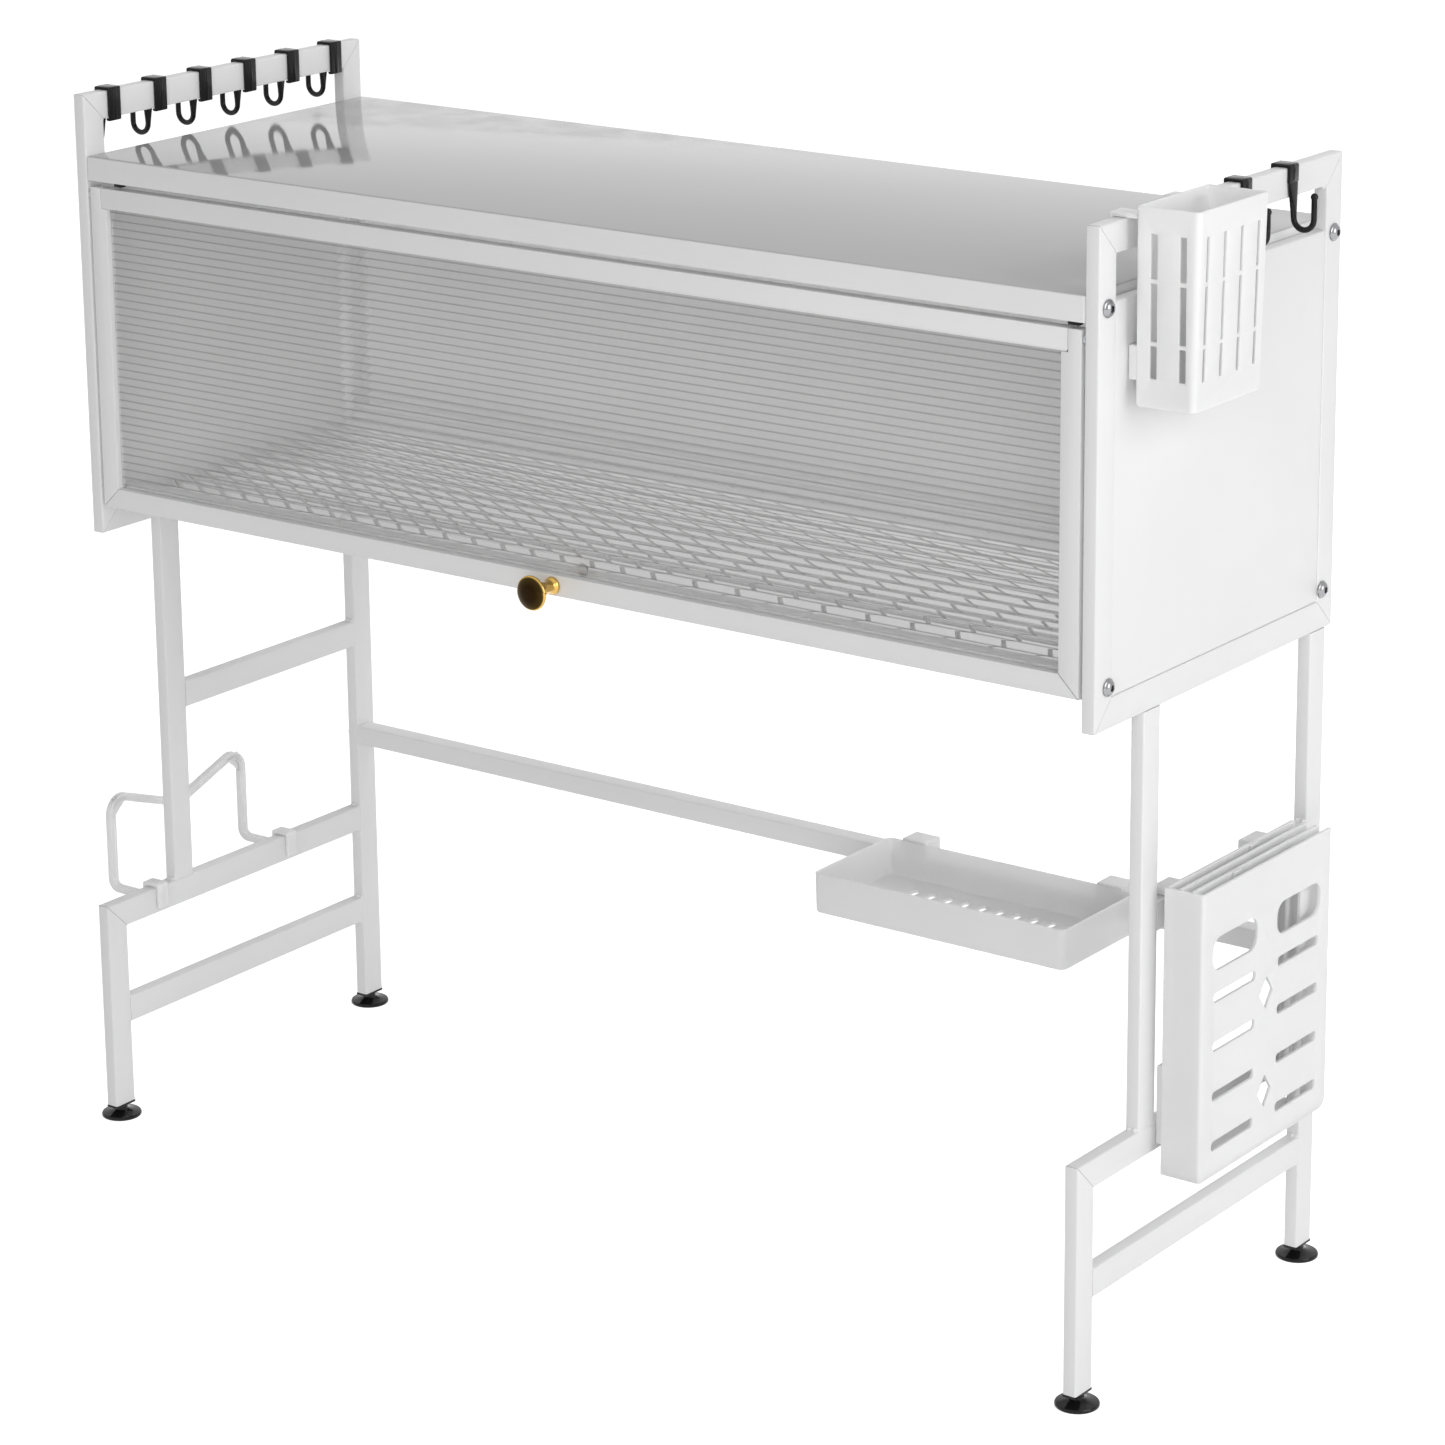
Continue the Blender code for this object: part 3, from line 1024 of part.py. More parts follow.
def build_lid_holder(rack):
    """The pot-lid holder on the left base rail: a bent strip on two clips."""
    rail_top = LEG_BOTTOM + BASE_RAIL_TOP
    front, rear = LID_FRONT, LID_FRONT + LID_SPAN
    arm_z = rail_top - LID_ARM_DOWN
    peak = rail_top + LID_TOP - LID_STRIP / 2
    dip = peak - LID_DIP
    post_end = arm_z - LID_STRIP / 2
    rough = [(front, post_end), (front, peak), ((front + rear) / 2, dip), (rear, peak), (rear, post_end)]
    radii = (0, LID_CORNER, LID_CORNER, LID_CORNER, 0)
    path = fillet(rough, radii, 4)
    x = -FACE_OUT - LID_OUT
    mesh = plate("lid_holder", strip(path, LID_STRIP), LID_T)
    holder = rack.piece("lid_holder", mesh, "white_plastic", (x, 0, 0), ALONG_X)
    rail_middle = -FACE_OUT + TUBE_W / 2
    wall = CLIP_T
    for i, y in enumerate((front, rear)):
        low_y, high_y = span(y, LID_STRIP)
        low_z, high_z = span(arm_z, LID_STRIP)
        start = (x - LID_T / 4, low_y + GAP / 2, low_z + GAP / 2)
        end = (-FACE_OUT - GAP - wall / 2, high_y - GAP / 2, high_z - GAP / 2)
        combine(holder, rack.helper("lid_arm_" + str(i), boxes("lid_arm", [(start, end)])), "UNION")
        half = TUBE_W / 2 + GAP
        skirt = -LID_ARM_DOWN - LID_STRIP / 2
        outline = [
            (half + wall, GAP + wall), (-half - wall, GAP + wall), (-half - wall, skirt), (-half, skirt),
            (-half, GAP), (half, GAP), (half, -CLIP_DOWN), (half + wall, -CLIP_DOWN)]
        mesh = plate("lid_clip", outline, LID_CLIP_W)
        combine(holder, rack.helper("lid_clip_" + str(i), mesh, (rail_middle, y, rail_top), ALONG_Y), "UNION")
        inward = 1 if i == 0 else -1
        cut = LID_CORNER * (1 - math.sin(math.pi / 4))
        slope = 2 * LID_DIP / LID_SPAN
        gusset = [
            (y + inward * cut, peak - cut), (y + inward * LID_STRIP / 4, peak - LID_GUSSET - LID_STRIP),
            (y + inward * LID_GUSSET, peak - slope * LID_GUSSET)]
        mesh = plate("lid_gusset", gusset, LID_GUSSET_T)
        combine(holder, rack.helper("lid_gusset_" + str(i), mesh, (x, 0, 0), ALONG_X), "UNION")


def build():
    for obj in list(bpy.data.objects):
        bpy.data.objects.remove(obj)
    rack = Rack()
    build_side_frames(rack)
    build_panels(rack)
    build_top_plate(rack)
    build_shelf(rack)
    build_leg_frames(rack)
    build_crossbar(rack)
    build_connectors(rack)
    build_bolts(rack)
    build_feet(rack)
    build_door(rack)
    build_hooks(rack)
    build_caddy(rack)
    build_board_holder(rack)
    build_tray(rack)
    build_lid_holder(rack)
    bpy.context.view_layer.update()


if __name__ == "__main__":
    build()
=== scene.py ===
import json
import math

import bmesh
import bpy
from bpy.props import FloatProperty, FloatVectorProperty, PointerProperty
from mathutils import Matrix, Vector


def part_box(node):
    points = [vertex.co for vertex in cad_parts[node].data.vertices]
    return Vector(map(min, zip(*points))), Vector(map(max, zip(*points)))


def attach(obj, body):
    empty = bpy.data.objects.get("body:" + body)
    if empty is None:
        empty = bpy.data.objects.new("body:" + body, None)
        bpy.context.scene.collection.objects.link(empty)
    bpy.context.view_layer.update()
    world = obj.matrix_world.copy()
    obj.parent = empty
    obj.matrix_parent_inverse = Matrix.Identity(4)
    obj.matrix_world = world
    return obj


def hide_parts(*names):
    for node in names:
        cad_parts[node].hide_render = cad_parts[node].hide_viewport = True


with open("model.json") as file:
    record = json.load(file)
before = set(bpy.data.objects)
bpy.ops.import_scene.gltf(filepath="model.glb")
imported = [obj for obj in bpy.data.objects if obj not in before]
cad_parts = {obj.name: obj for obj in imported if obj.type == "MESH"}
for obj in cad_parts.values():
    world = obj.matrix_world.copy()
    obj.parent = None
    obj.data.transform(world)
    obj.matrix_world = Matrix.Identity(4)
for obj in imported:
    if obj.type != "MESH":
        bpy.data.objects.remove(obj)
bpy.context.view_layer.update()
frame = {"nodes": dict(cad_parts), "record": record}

bl_info = {
    "name": "Over sink dish rack",
    "version": (1, 0, 0),
    "blender": (4, 5, 0),
    "location": "3D View > Sidebar > Dish rack",
    "description": "Builds the dressed model of an over sink dish rack around its packed frame",
    "category": "Object",
}

# The frame's own faces, in metres
LEFT_LOW, LEFT_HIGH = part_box("side_frame_left")
RIGHT_LOW, RIGHT_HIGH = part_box("side_frame_right")
LEG_LOW, LEG_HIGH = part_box("leg_frame_right")
MIDDLE_X = (LEFT_LOW.x + RIGHT_HIGH.x) / 2
FRONT = RIGHT_LOW.y
REAR = RIGHT_HIGH.y
SIDE_TOP = RIGHT_HIGH.z
SIDE_BOTTOM = RIGHT_LOW.z
SIDES = {"left": (LEFT_LOW.x, LEFT_HIGH.x, -1), "right": (RIGHT_LOW.x, RIGHT_HIGH.x, 1)}

# Steel tube: its depth, the setback of the upper leg, and the tops of the rails above the leg's end
TUBE_DEEP = 0.02
UPPER_LEG_BACK = 0.06
BASE_RAIL_TOP = 0.16
LOW_RAIL_TOP = 0.083
HIGH_RAIL_TOP = 0.313

# Pressed sheet: bend and wall of the panels, then of the top plate
PANEL_SHEET = (0.0012, 0.0009)
TOP_SHEET = (0.0016, 0.001)

# Ends of the two door pads and of the shelf's middle field along X, from the middle of the cabinet
DOOR_PADS = ((-0.397, -0.3895), (0.409, 0.418))
SHELF_MIDDLE_FIELD = (-0.163, 0.024)

# Gap between a piece and what it sits on
FIT = 0.0003

# Hang-on pieces: their distance from the tube, and the reach and wall of their clips
STANDOFF = 0.0075
CLIP_DOWN = 0.016
CLIP_THICK = 0.003

# Studio: the floor's half width, its paint, its glow where it is seen or mirrored and behind clear plastic
FLOOR_HALF = 6.0
FLOOR_WHITE = 0.82
FLOOR_GLOW = 0.72
FLOOR_GLOW_BEHIND = 0.04
LAMP_TARGET = (0.0, 0.0, 0.45)
CAMERA_TARGET = (0.0958, 0.065, 0.5415)
WHITE = (1, 1, 1, 1)


class RackSizes(bpy.types.PropertyGroup):
    """Sizes of the details that the plain frame leaves out."""

    tube_round: FloatProperty(
        name="Tube corner", description="Corner radius of the steel tube", default=0.0011, unit="LENGTH")
    mitre_seam: FloatProperty(
        name="Mitre seam", description="Half width of the line at a mitred corner", default=0.0002,
        unit="LENGTH")
    weld_bead: FloatProperty(
        name="Weld bead", description="Radius of the weld beads in the inner corners", default=0.0021,
        unit="LENGTH")
    door_seam: FloatProperty(
        name="Door seam", description="Half width of the line at the door's mitred corners", default=0.00035,
        unit="LENGTH")
    shelf_wire: FloatProperty(
        name="Shelf wire", description="Diameter of the shelf's wires", default=0.0021, unit="LENGTH")
    shelf_pitches: FloatVectorProperty(
        name="Shelf pitches across", description="Spacing of the wires in the left, middle and right fields",
        default=(0.0222, 0.0275, 0.037), size=3, unit="LENGTH")
    shelf_pitch_y: FloatProperty(
        name="Shelf pitch deep", description="Spacing of the wires from front to rear", default=0.02,
        unit="LENGTH")
    flute_pitch: FloatProperty(
        name="Flute pitch", description="Height of one flute of the door's sheet", default=0.00575,
        unit="LENGTH")
    flute_depth: FloatProperty(
        name="Flute depth", description="Depth of the valley between two flutes", default=0.00012,
        unit="LENGTH")
    door_round: FloatProperty(
        name="Door edge", description="Edge radius of the door's frame", default=0.0007, unit="LENGTH")
    moulding_round: FloatProperty(
        name="Moulded edge", description="Edge radius of the moulded holders", default=0.0005, unit="LENGTH")
    valley_shade: FloatProperty(
        name="Valley shade", description="Brightness of the sheet's valleys beside its crowns", default=0.5)
    wall: FloatProperty(
        name="Moulded wall", description="Wall of the moulded holders", default=0.0022, unit="LENGTH")


class RackColours(bpy.types.PropertyGroup):
    """Colours of the rack's finishes."""

    powder_white: FloatVectorProperty(
        name="Powder coat", description="White powder coat of the tubes", default=(0.8, 0.8, 0.8),
        size=3, subtype="COLOR")
    # Painted shade: the wires are white powder coat, greyed for the shade they sit in inside the cabinet.
    wire_shaded_white: FloatVectorProperty(
        name="Wire coat", description="Greyer coat of the shelf's wires", default=(0.58, 0.58, 0.58),
        size=3, subtype="COLOR")
    # Painted shade: the top plate's colour is the powder white darkened for the weaker light on its top face.
    top_face_shaded_white: FloatVectorProperty(
        name="Top plate paint", description="Smooth paint of the top plate", default=(0.48, 0.48, 0.48),
        size=3, subtype="COLOR")
    moulded_white: FloatVectorProperty(
        name="White plastic", description="White plastic of the caddy and lid holder",
        default=(0.88, 0.88, 0.88), size=3, subtype="COLOR")
    moulded_pale: FloatVectorProperty(
        name="Pale plastic", description="Slightly greyer plastic of the board holder and tray",
        default=(0.79, 0.79, 0.79), size=3, subtype="COLOR")
    moulded_black: FloatVectorProperty(
        name="Black plastic", description="Black plastic of the hooks and feet",
        default=(0.008, 0.008, 0.008), size=3, subtype="COLOR")
    sheet_tint: FloatVectorProperty(
        name="Door sheet", description="Tint of the fluted door sheet", default=(0.79, 0.79, 0.79),
        size=3, subtype="COLOR")
    gilt: FloatVectorProperty(
        name="Knob gilt", description="Gold of the knob's rim and neck", default=(0.66, 0.42, 0.115),
        size=3, subtype="COLOR")
    smoked: FloatVectorProperty(
        name="Knob face", description="Dark polished face of the knob", default=(0.02, 0.011, 0.004),
        size=3, subtype="COLOR")
    chrome: FloatVectorProperty(
        name="Chrome", description="Chrome of the bolts", default=(0.32, 0.32, 0.33),
        size=3, subtype="COLOR")
    zinc: FloatVectorProperty(
        name="Zinc", description="Zinc of the hidden steel fittings", default=(0.45, 0.46, 0.48),
        size=3, subtype="COLOR")


class StudioSettings(bpy.types.PropertyGroup):
    """Camera and light of the studio."""

    lens: FloatProperty(name="Lens", description="Focal length in millimetres", default=114.0)
    shift: FloatProperty(name="Shift", description="Vertical shift of the lens", default=-0.15)
    yaw: FloatProperty(
        name="Yaw", description="Camera's turn from straight in front to the right",
        default=math.radians(36.635), subtype="ANGLE")
    pitch: FloatProperty(
        name="Pitch", description="Camera's height angle", default=math.radians(14.908), subtype="ANGLE")
    roll: FloatProperty(
        name="Roll", description="Camera's lean", default=math.radians(-0.601), subtype="ANGLE")
    distance: FloatProperty(
        name="Distance", description="Camera from its target", default=3.0893, unit="LENGTH")
    sky: FloatProperty(name="Sky", description="Strength of the plain light from all sides", default=0.37)
    key: FloatProperty(
        name="Key light", description="Power of the softbox at the right, in watts", default=44.0)
    front: FloatProperty(
        name="Front light", description="Power of the softbox in front, in watts", default=50.0)
    rear: FloatProperty(
        name="Back light", description="Power of the high softbox behind, in watts", default=47.0)


def rack(x, y, z):
    """A point given from the middle of the cabinet's front at floor level."""
    return Vector((MIDDLE_X + x, FRONT + y, z))


def centre_of(low, high):
    """The middle of a box, as three numbers."""
    return [(a + b) / 2 for a, b in zip(low, high)]


def nodes_named(*starts):
    """The frame's nodes whose names begin so, each with the middle of its box and its end of the cabinet."""
    for node in sorted(frame["nodes"]):
        if node.startswith(starts):
            low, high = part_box(node)
            yield node, centre_of(low, high), "right" if high.x > 0 else "left"


# Materials

def feed(tree, node, inputs):
    """Set a node's inputs, each by an output to link or by a plain value."""
    for key, value in inputs.items():
        if isinstance(value, bpy.types.NodeSocket):
            tree.links.new(value, node.inputs[key])
        else:
            node.inputs[key].default_value = value


def add_node(tree, kind, inputs, **settings):
    """The outputs of a new shader node with its inputs and settings."""
    node = tree.nodes.new("ShaderNode" + kind)
    for name, value in settings.items():
        setattr(node, name, value)
    feed(tree, node, inputs)
    return node.outputs


def new_finish(name):
    """An empty Principled material, with its tree and its object coordinates."""
    material = bpy.data.materials.new(name)
    material.use_nodes = True
    tree = material.node_tree
    return material, tree, add_node(tree, "TexCoord", {})["Object"]


def shaded(material, inputs):
    """A material after its Principled shader has got its inputs."""
    feed(material.node_tree, material.node_tree.nodes["Principled BSDF"], inputs)
    return material


def cloudy(tree, coords, scale, detail=2.0, stretch=None):
    """A noise pattern; stretch scales the coordinates along X, Y and Z first."""
    if stretch:
        coords = add_node(tree, "Mapping", {"Vector": coords, "Scale": stretch})["Vector"]
    return add_node(tree, "TexNoise", {"Vector": coords, "Scale": scale, "Detail": detail})["Fac"]


def ramp(tree, pattern, *stops):
    """Colours along a pattern, from stops of a place and a colour."""
    node = tree.nodes.new("ShaderNodeValToRGB")
    elements = node.color_ramp.elements
    for element, (place, colour) in zip(elements, (stops[0], stops[-1])):
        element.position = place
        element.color = (*colour, 1)
    for place, colour in stops[1:-1]:
        elements.new(place).color = (*colour, 1)
    feed(tree, node, {"Fac": pattern})
    return node.outputs["Color"]


def uneven(tree, coords, colour, spread, *noise):
    """A colour that a noise varies by a share either way."""
    dark, light = ([min(1.0, part * share) for part in colour] for share in (1 - spread, 1 + spread))
    return ramp(tree, cloudy(tree, coords, *noise), (0.3, dark), (0.7, light))


def between(tree, coords, low, high, *noise):
    """A number that a noise varies between two values."""
    pattern = cloudy(tree, coords, *noise)
    scale = {"Value": pattern, "From Min": 0.3, "From Max": 0.7, "To Min": low, "To Max": high}
    return add_node(tree, "MapRange", scale)["Result"]


def embossed(tree, coords, height, strength, *noise):
    """A surface that a noise raises by a height in metres."""
    pattern = cloudy(tree, coords, *noise)
    return add_node(tree, "Bump", {"Distance": height, "Strength": strength, "Height": pattern})["Normal"]


def noisy(name, drift, gloss, grain, fixed):
    """A finish with a noise each in its colour, its roughness and its surface, and with fixed inputs."""
    material, tree, coords = new_finish(name)
    return shaded(material, {
        "Base Color": uneven(tree, coords, *drift), "Roughness": between(tree, coords, *gloss),
        "Normal": embossed(tree, coords, *grain), **fixed})


def powder_coat(name, colour):
    """Satin powder coat: a fine orange peel over a slightly uneven white."""
    return noisy(name, (colour, 0.012, 9.0), (0.36, 0.46, 55.0), (0.00006, 0.25, 700.0, 1.0), {})


def top_paint_shaded(colour, lip_colour):
    """Smooth baked paint of the top plate: a long faint waviness in the gloss, and painted shade on its top
    face, which is darker than its turned lips.
    """
    material, tree, coords = new_finish("top_paint_shaded")
    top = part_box("top_plate")[1].z
    height = add_node(tree, "SeparateXYZ", {"Vector": coords})["Z"]
    # Painted shade: the top face above this height takes the darker colour, while the lips below keep the
    # powder white.
    above = add_node(tree, "MapRange", {"Value": height, "From Min": top - 0.001, "From Max": top - 0.0003})
    blend = {
        0: above["Result"], 6: uneven(tree, coords, lip_colour, 0.012, 9.0),
        7: uneven(tree, coords, colour, 0.012, 6.0)}
    return shaded(material, {
        "Base Color": add_node(tree, "Mix", blend, data_type="RGBA")[2],
        "Roughness": between(tree, coords, 0.05, 0.09, 40.0),
        "Specular IOR Level": 0.22,
        "Normal": embossed(tree, coords, 0.0004, 0.06, 14.0, 1.0, (1.0, 3.0, 1.0))})


def moulded_plastic(name, colour, spread, gloss, fixed):
    """Injection moulded plastic with faint flow marks and a fine grain."""
    flow = (colour, spread, 14.0, 2.0, (1.0, 1.0, 0.4))
    return noisy(name, flow, (*gloss, 90.0), (0.00004, 0.3, 1500.0, 1.0), fixed)


def white_plastic(name, colour, depth):
    """White moulded plastic, with light that travels a little way under its skin."""
    return moulded_plastic(name, colour, 0.01, (0.34, 0.44), {
        "Subsurface Weight": 0.5, "Subsurface Radius": (1.0, 1.0, 1.0), "Subsurface Scale": depth})


def flutes(sheet_low, sheet_high, wanted):
    """How many flutes fit the sheet's height, and the height of each."""
    count = round((sheet_high.z - sheet_low.z) / wanted)
    return count, (sheet_high.z - sheet_low.z) / count


def fluted_sheet(tint, sizes):
    """Milky clear plastic of the door, with painted shade in the valley between two flutes; lamps shine
    through it.
    """
    material, tree, coords = new_finish("fluted_sheet")
    low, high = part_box("door_panel")
    pitch = flutes(low, high, sizes.flute_pitch)[1]
    value = add_node(tree, "SeparateXYZ", {"Vector": coords})["Z"]
    for operation, number in (("SUBTRACT", low.z), ("DIVIDE", pitch), ("FRACT", 0.5)):
        value = add_node(tree, "Math", {0: value, 1: number}, operation=operation)["Value"]
    # Painted shade: the sheet's colour darkens in a thin line at each valley between two flutes.
    dark = [part * sizes.valley_shade for part in tint]
    shaded(material, {
        "Base Color": ramp(tree, value, (0.0, dark), (0.12, tint), (0.88, tint), (1.0, dark)),
        "Roughness": between(tree, coords, 0.005, 0.02, 30.0),
        "Transmission Weight": 0.92,
        "IOR": 1.35,
        "Normal": embossed(tree, coords, 0.0006, 0.05, 22.0, 1.0, (0.3, 1.0, 1.0))})
    choose = add_node(tree, "MixShader", {
        "Fac": add_node(tree, "LightPath", {})["Is Shadow Ray"],
        1: tree.nodes["Principled BSDF"].outputs["BSDF"],
        2: add_node(tree, "BsdfTransparent", {"Color": (0.88, 0.88, 0.88, 1)})["BSDF"]})
    feed(tree, tree.nodes["Material Output"], {"Surface": choose["Shader"]})
    return material


def clear_plastic():
    """Clear moulded plastic of the door's stop."""
    drift, gloss, grain = ((0.93, 0.94, 0.95), 0.02, 60.0), (0.02, 0.06, 200.0), (0.0001, 0.2, 500.0, 1.0)
    return noisy("clear_stop", drift, gloss, grain, {"Transmission Weight": 0.95, "IOR": 1.46})


def polished_metal(name, colour, rough_low, rough_high, grain=900.0):
    """Polished or plated metal with fine marks from the polishing wheel."""
    marks = (0.00002, 0.15, grain, 1.0, (1.0, 1.0, 0.2))
    return noisy(name, (colour, 0.05, 120.0), (rough_low, rough_high, 260.0), marks, {"Metallic": 1.0})


def knob_face(dark, rim):
    """Dark mirror of the knob's face with a painted highlight: it turns to gilt towards its edge."""
    material, tree, coords = new_finish("knob_face")
    low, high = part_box("door_knob")
    x, _, z = centre_of(low, high)
    flat = 2 / (high.x - low.x)
    value = coords
    for operation, vector in (("SUBTRACT", (x, 0, z)), ("MULTIPLY", (flat, 0, flat))):
        value = add_node(tree, "VectorMath", {0: value, 1: vector}, operation=operation)["Vector"]
    reach = add_node(tree, "VectorMath", {0: value}, operation="LENGTH")["Value"]
    # Painted highlight: the ramp turns the dark face to gilt towards its edge, for the gleam of the lamps.
    faint, edge = ([part * share for part in rim] for share in (0.07, 0.45))
    return shaded(material, {
        "Base Color": ramp(tree, reach, (0.45, dark), (0.86, faint), (1.0, edge)),
        "Metallic": 1.0,
        "Roughness": between(tree, coords, 0.04, 0.08, 260.0)})


FINISHES = {}


def make_finishes(colours, sizes):
    """Every finish of the rack, by the name of the record's material slot."""
    black, dull = colours.moulded_black, {"Specular IOR Level": 0.22}
    FINISHES.update(
        white_steel=powder_coat("powder_coat", colours.powder_white),
        wire_steel=powder_coat("wire_coat_painted_shade", colours.wire_shaded_white),
        white_sheet=top_paint_shaded(colours.top_face_shaded_white, colours.powder_white),
        white_plastic=white_plastic("moulded_white", colours.moulded_white, 0.009),
        pale_plastic=white_plastic("moulded_pale", colours.moulded_pale, 0.004),
        black_plastic=moulded_plastic("moulded_black", black, 0.25, (0.11, 0.17), dull),
        fluted_plastic=fluted_sheet(colours.sheet_tint, sizes),
        clear_plastic=clear_plastic(),
        gold_brass=polished_metal("gilt_brass", colours.gilt, 0.07, 0.13),
        smoked_face=knob_face(colours.smoked, colours.gilt),
        chrome=polished_metal("bolt_chrome", colours.chrome, 0.1, 0.18),
        zinc_steel=polished_metal("zinc_plate", colours.zinc, 0.28, 0.42, 400.0))


# Shapes

def mesh_from(shape, name):
    """Turn a bmesh into a mesh with its faces pointing out."""
    bmesh.ops.recalc_face_normals(shape, faces=shape.faces)
    mesh = bpy.data.meshes.new(name)
    shape.to_mesh(mesh)
    shape.free()
    return mesh


def add_object(name, mesh):
    """Link a mesh into the scene."""
    obj = bpy.data.objects.new(name, mesh)
    bpy.context.scene.collection.objects.link(obj)
    return obj


def smooth(mesh, angle):
    """Smooth shading that keeps the edges sharper than an angle."""
    mesh.shade_smooth()
    mesh.set_sharp_from_angle(angle=math.radians(angle))


def piece(name, shape, body, slot, nodes=(), finish=None, angle=35):
    """A visible object of a mesh, a bmesh or a list of meshes.

    It gets its finish, its body and the frame's nodes that it stands for.
    """
    if isinstance(shape, list):
        shape = joined(name, shape)
    elif isinstance(shape, bmesh.types.BMesh):
        shape = mesh_from(shape, name)
    obj = add_object(name, shape)
    if not shape.materials:
        shape.materials.append(FINISHES[finish or slot])
        smooth(shape, angle)
    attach(obj, body)
    if nodes:
        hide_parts(*nodes)
    return obj


def baked(obj):
    """The mesh of an object with its modifiers applied; the object itself is removed."""
    bpy.context.view_layer.update()
    graph = bpy.context.evaluated_depsgraph_get()
    mesh = bpy.data.meshes.new_from_object(obj.evaluated_get(graph))
    bpy.data.objects.remove(obj)
    return mesh


def changed(mesh, kind, **settings):
    """A mesh after one modifier."""
    obj = add_object("stock", mesh)
    modifier = obj.modifiers.new("change", kind)
    for key, value in settings.items():
        setattr(modifier, key, value)
    return baked(obj)


def joined(name, meshes):
    """One mesh out of several."""
    shape = bmesh.new()
    for mesh in meshes:
        shape.from_mesh(mesh)
        bpy.data.meshes.remove(mesh)
    return mesh_from(shape, name)


def soften(mesh, width, angle=40):
    """Round every edge sharper than an angle."""
    return changed(
        mesh, "BEVEL", width=width, segments=2, limit_method="ANGLE", angle_limit=math.radians(angle))


def cut(mesh, cutter):
    """Cut one closed mesh out of another."""
    tool = add_object("cutter", cutter)
    result = changed(mesh, "BOOLEAN", operation="DIFFERENCE", object=tool, solver="EXACT")
    bpy.data.objects.remove(tool)
    return result


def member(shape, start, end, radius, steps=3):
    """A straight bar between two end faces with matching corners; its long edges are rounded."""
    near = [shape.verts.new(point) for point in start]
    far = [shape.verts.new(point) for point in end]
    shape.faces.new(near[::-1])
    shape.faces.new(far)
    count = len(near)
    for i in range(count):
        j = (i + 1) % count
        shape.faces.new((near[i], near[j], far[j], far[i]))
    edges = [shape.edges.get(pair) for pair in zip(near, far)]
    bmesh.ops.bevel(shape, geom=edges, offset=radius, segments=steps, profile=0.5, affect="EDGES")


def side_member(shape, corners, low_x, high_x, radius):
    """A tube in the plane of a side: four corners in Y and Z, outer start first and inner start last."""
    start, end = (
        [(low_x, *corners[a]), (high_x, *corners[a]), (high_x, *corners[b]), (low_x, *corners[b])]
        for a, b in ((0, 3), (1, 2)))
    member(shape, start, end, radius)


def skinned(name, rings, cap_start=False, cap_end=False):
    """A mesh of rings of points joined with faces; a ring of one point closes to it."""
    shape = bmesh.new()
    rows = [[shape.verts.new(point) for point in ring] for ring in rings]
    for row, other in zip(rows, rows[1:]):
        count = max(len(row), len(other))
        for i in range(count):
            j = (i + 1) % count
            corners = (row[i % len(row)], row[j % len(row)], other[j % len(other)], other[i % len(other)])
            shape.faces.new(dict.fromkeys(corners))
    if cap_start:
        shape.faces.new(rows[0][::-1])
    if cap_end:
        shape.faces.new(rows[-1])
    return mesh_from(shape, name)


def circle(steps, radius, height):
    """Points of a level circle about Z."""
    turns = [2 * math.pi * i / steps for i in range(steps)]
    return [Vector((radius * math.cos(t), radius * math.sin(t), height)) for t in turns]


def lathed(name, profile, steps, matrix=Matrix()):
    """A closed body turned about Z from a profile of radius and height, then placed by a matrix."""
    rings = []
    for radius, height in profile:
        ring = circle(steps, radius, height) if radius > 1e-7 else [Vector((0, 0, height))]
        rings.append([matrix @ point for point in ring])
    return skinned(name, rings)


def facing_front(low, high):
    """What stands a lathed body on the rear face of a box, with its Z to the front."""
    x, _, z = centre_of(low, high)
    return Matrix.Translation((x, high.y, z)) @ Matrix.Rotation(math.pi / 2, 4, "X")


def arc(start, end, steps):
    """Points of a circle of radius 1 in a plane, between two angles in degrees."""
    angles = [math.radians(start + (end - start) * i / steps) for i in range(steps + 1)]
    return [(math.cos(angle), math.sin(angle)) for angle in angles]


def rounded(points, radii, steps=5):
    """A closed outline in a plane with some of its corners rounded."""
    result = []
    count = len(points)
    for i, point in enumerate(points):
        here = Vector(point)
        radius = radii[i]
        if not radius:
            result.append(here)
            continue
        back = (Vector(points[i - 1]) - here).normalized()
        ahead = (Vector(points[(i + 1) % count]) - here).normalized()
        half = back.angle(ahead) / 2
        centre = here + (back + ahead).normalized() * (radius / math.sin(half))
        start = here + back * (radius / math.tan(half)) - centre
        end = here + ahead * (radius / math.tan(half)) - centre
        sweep = start.angle_signed(end)
        for k in range(steps + 1):
            turned = start.copy()
            turned.rotate(Matrix.Rotation(-sweep * k / steps, 2))
            result.append(centre + turned)
    return result


def rectangle(low_u, low_v, high_u, high_v):
    """Four corners of a rectangle in a plane."""
    return [(low_u, low_v), (high_u, low_v), (high_u, high_v), (low_u, high_v)]


def slot_outline(u, low_v, high_v, half, radius, steps):
    """A slot in a plane with four round corners, from its middle and half width along U."""
    return rounded(rectangle(u - half, low_v, u + half, high_v), [radius] * 4, steps)


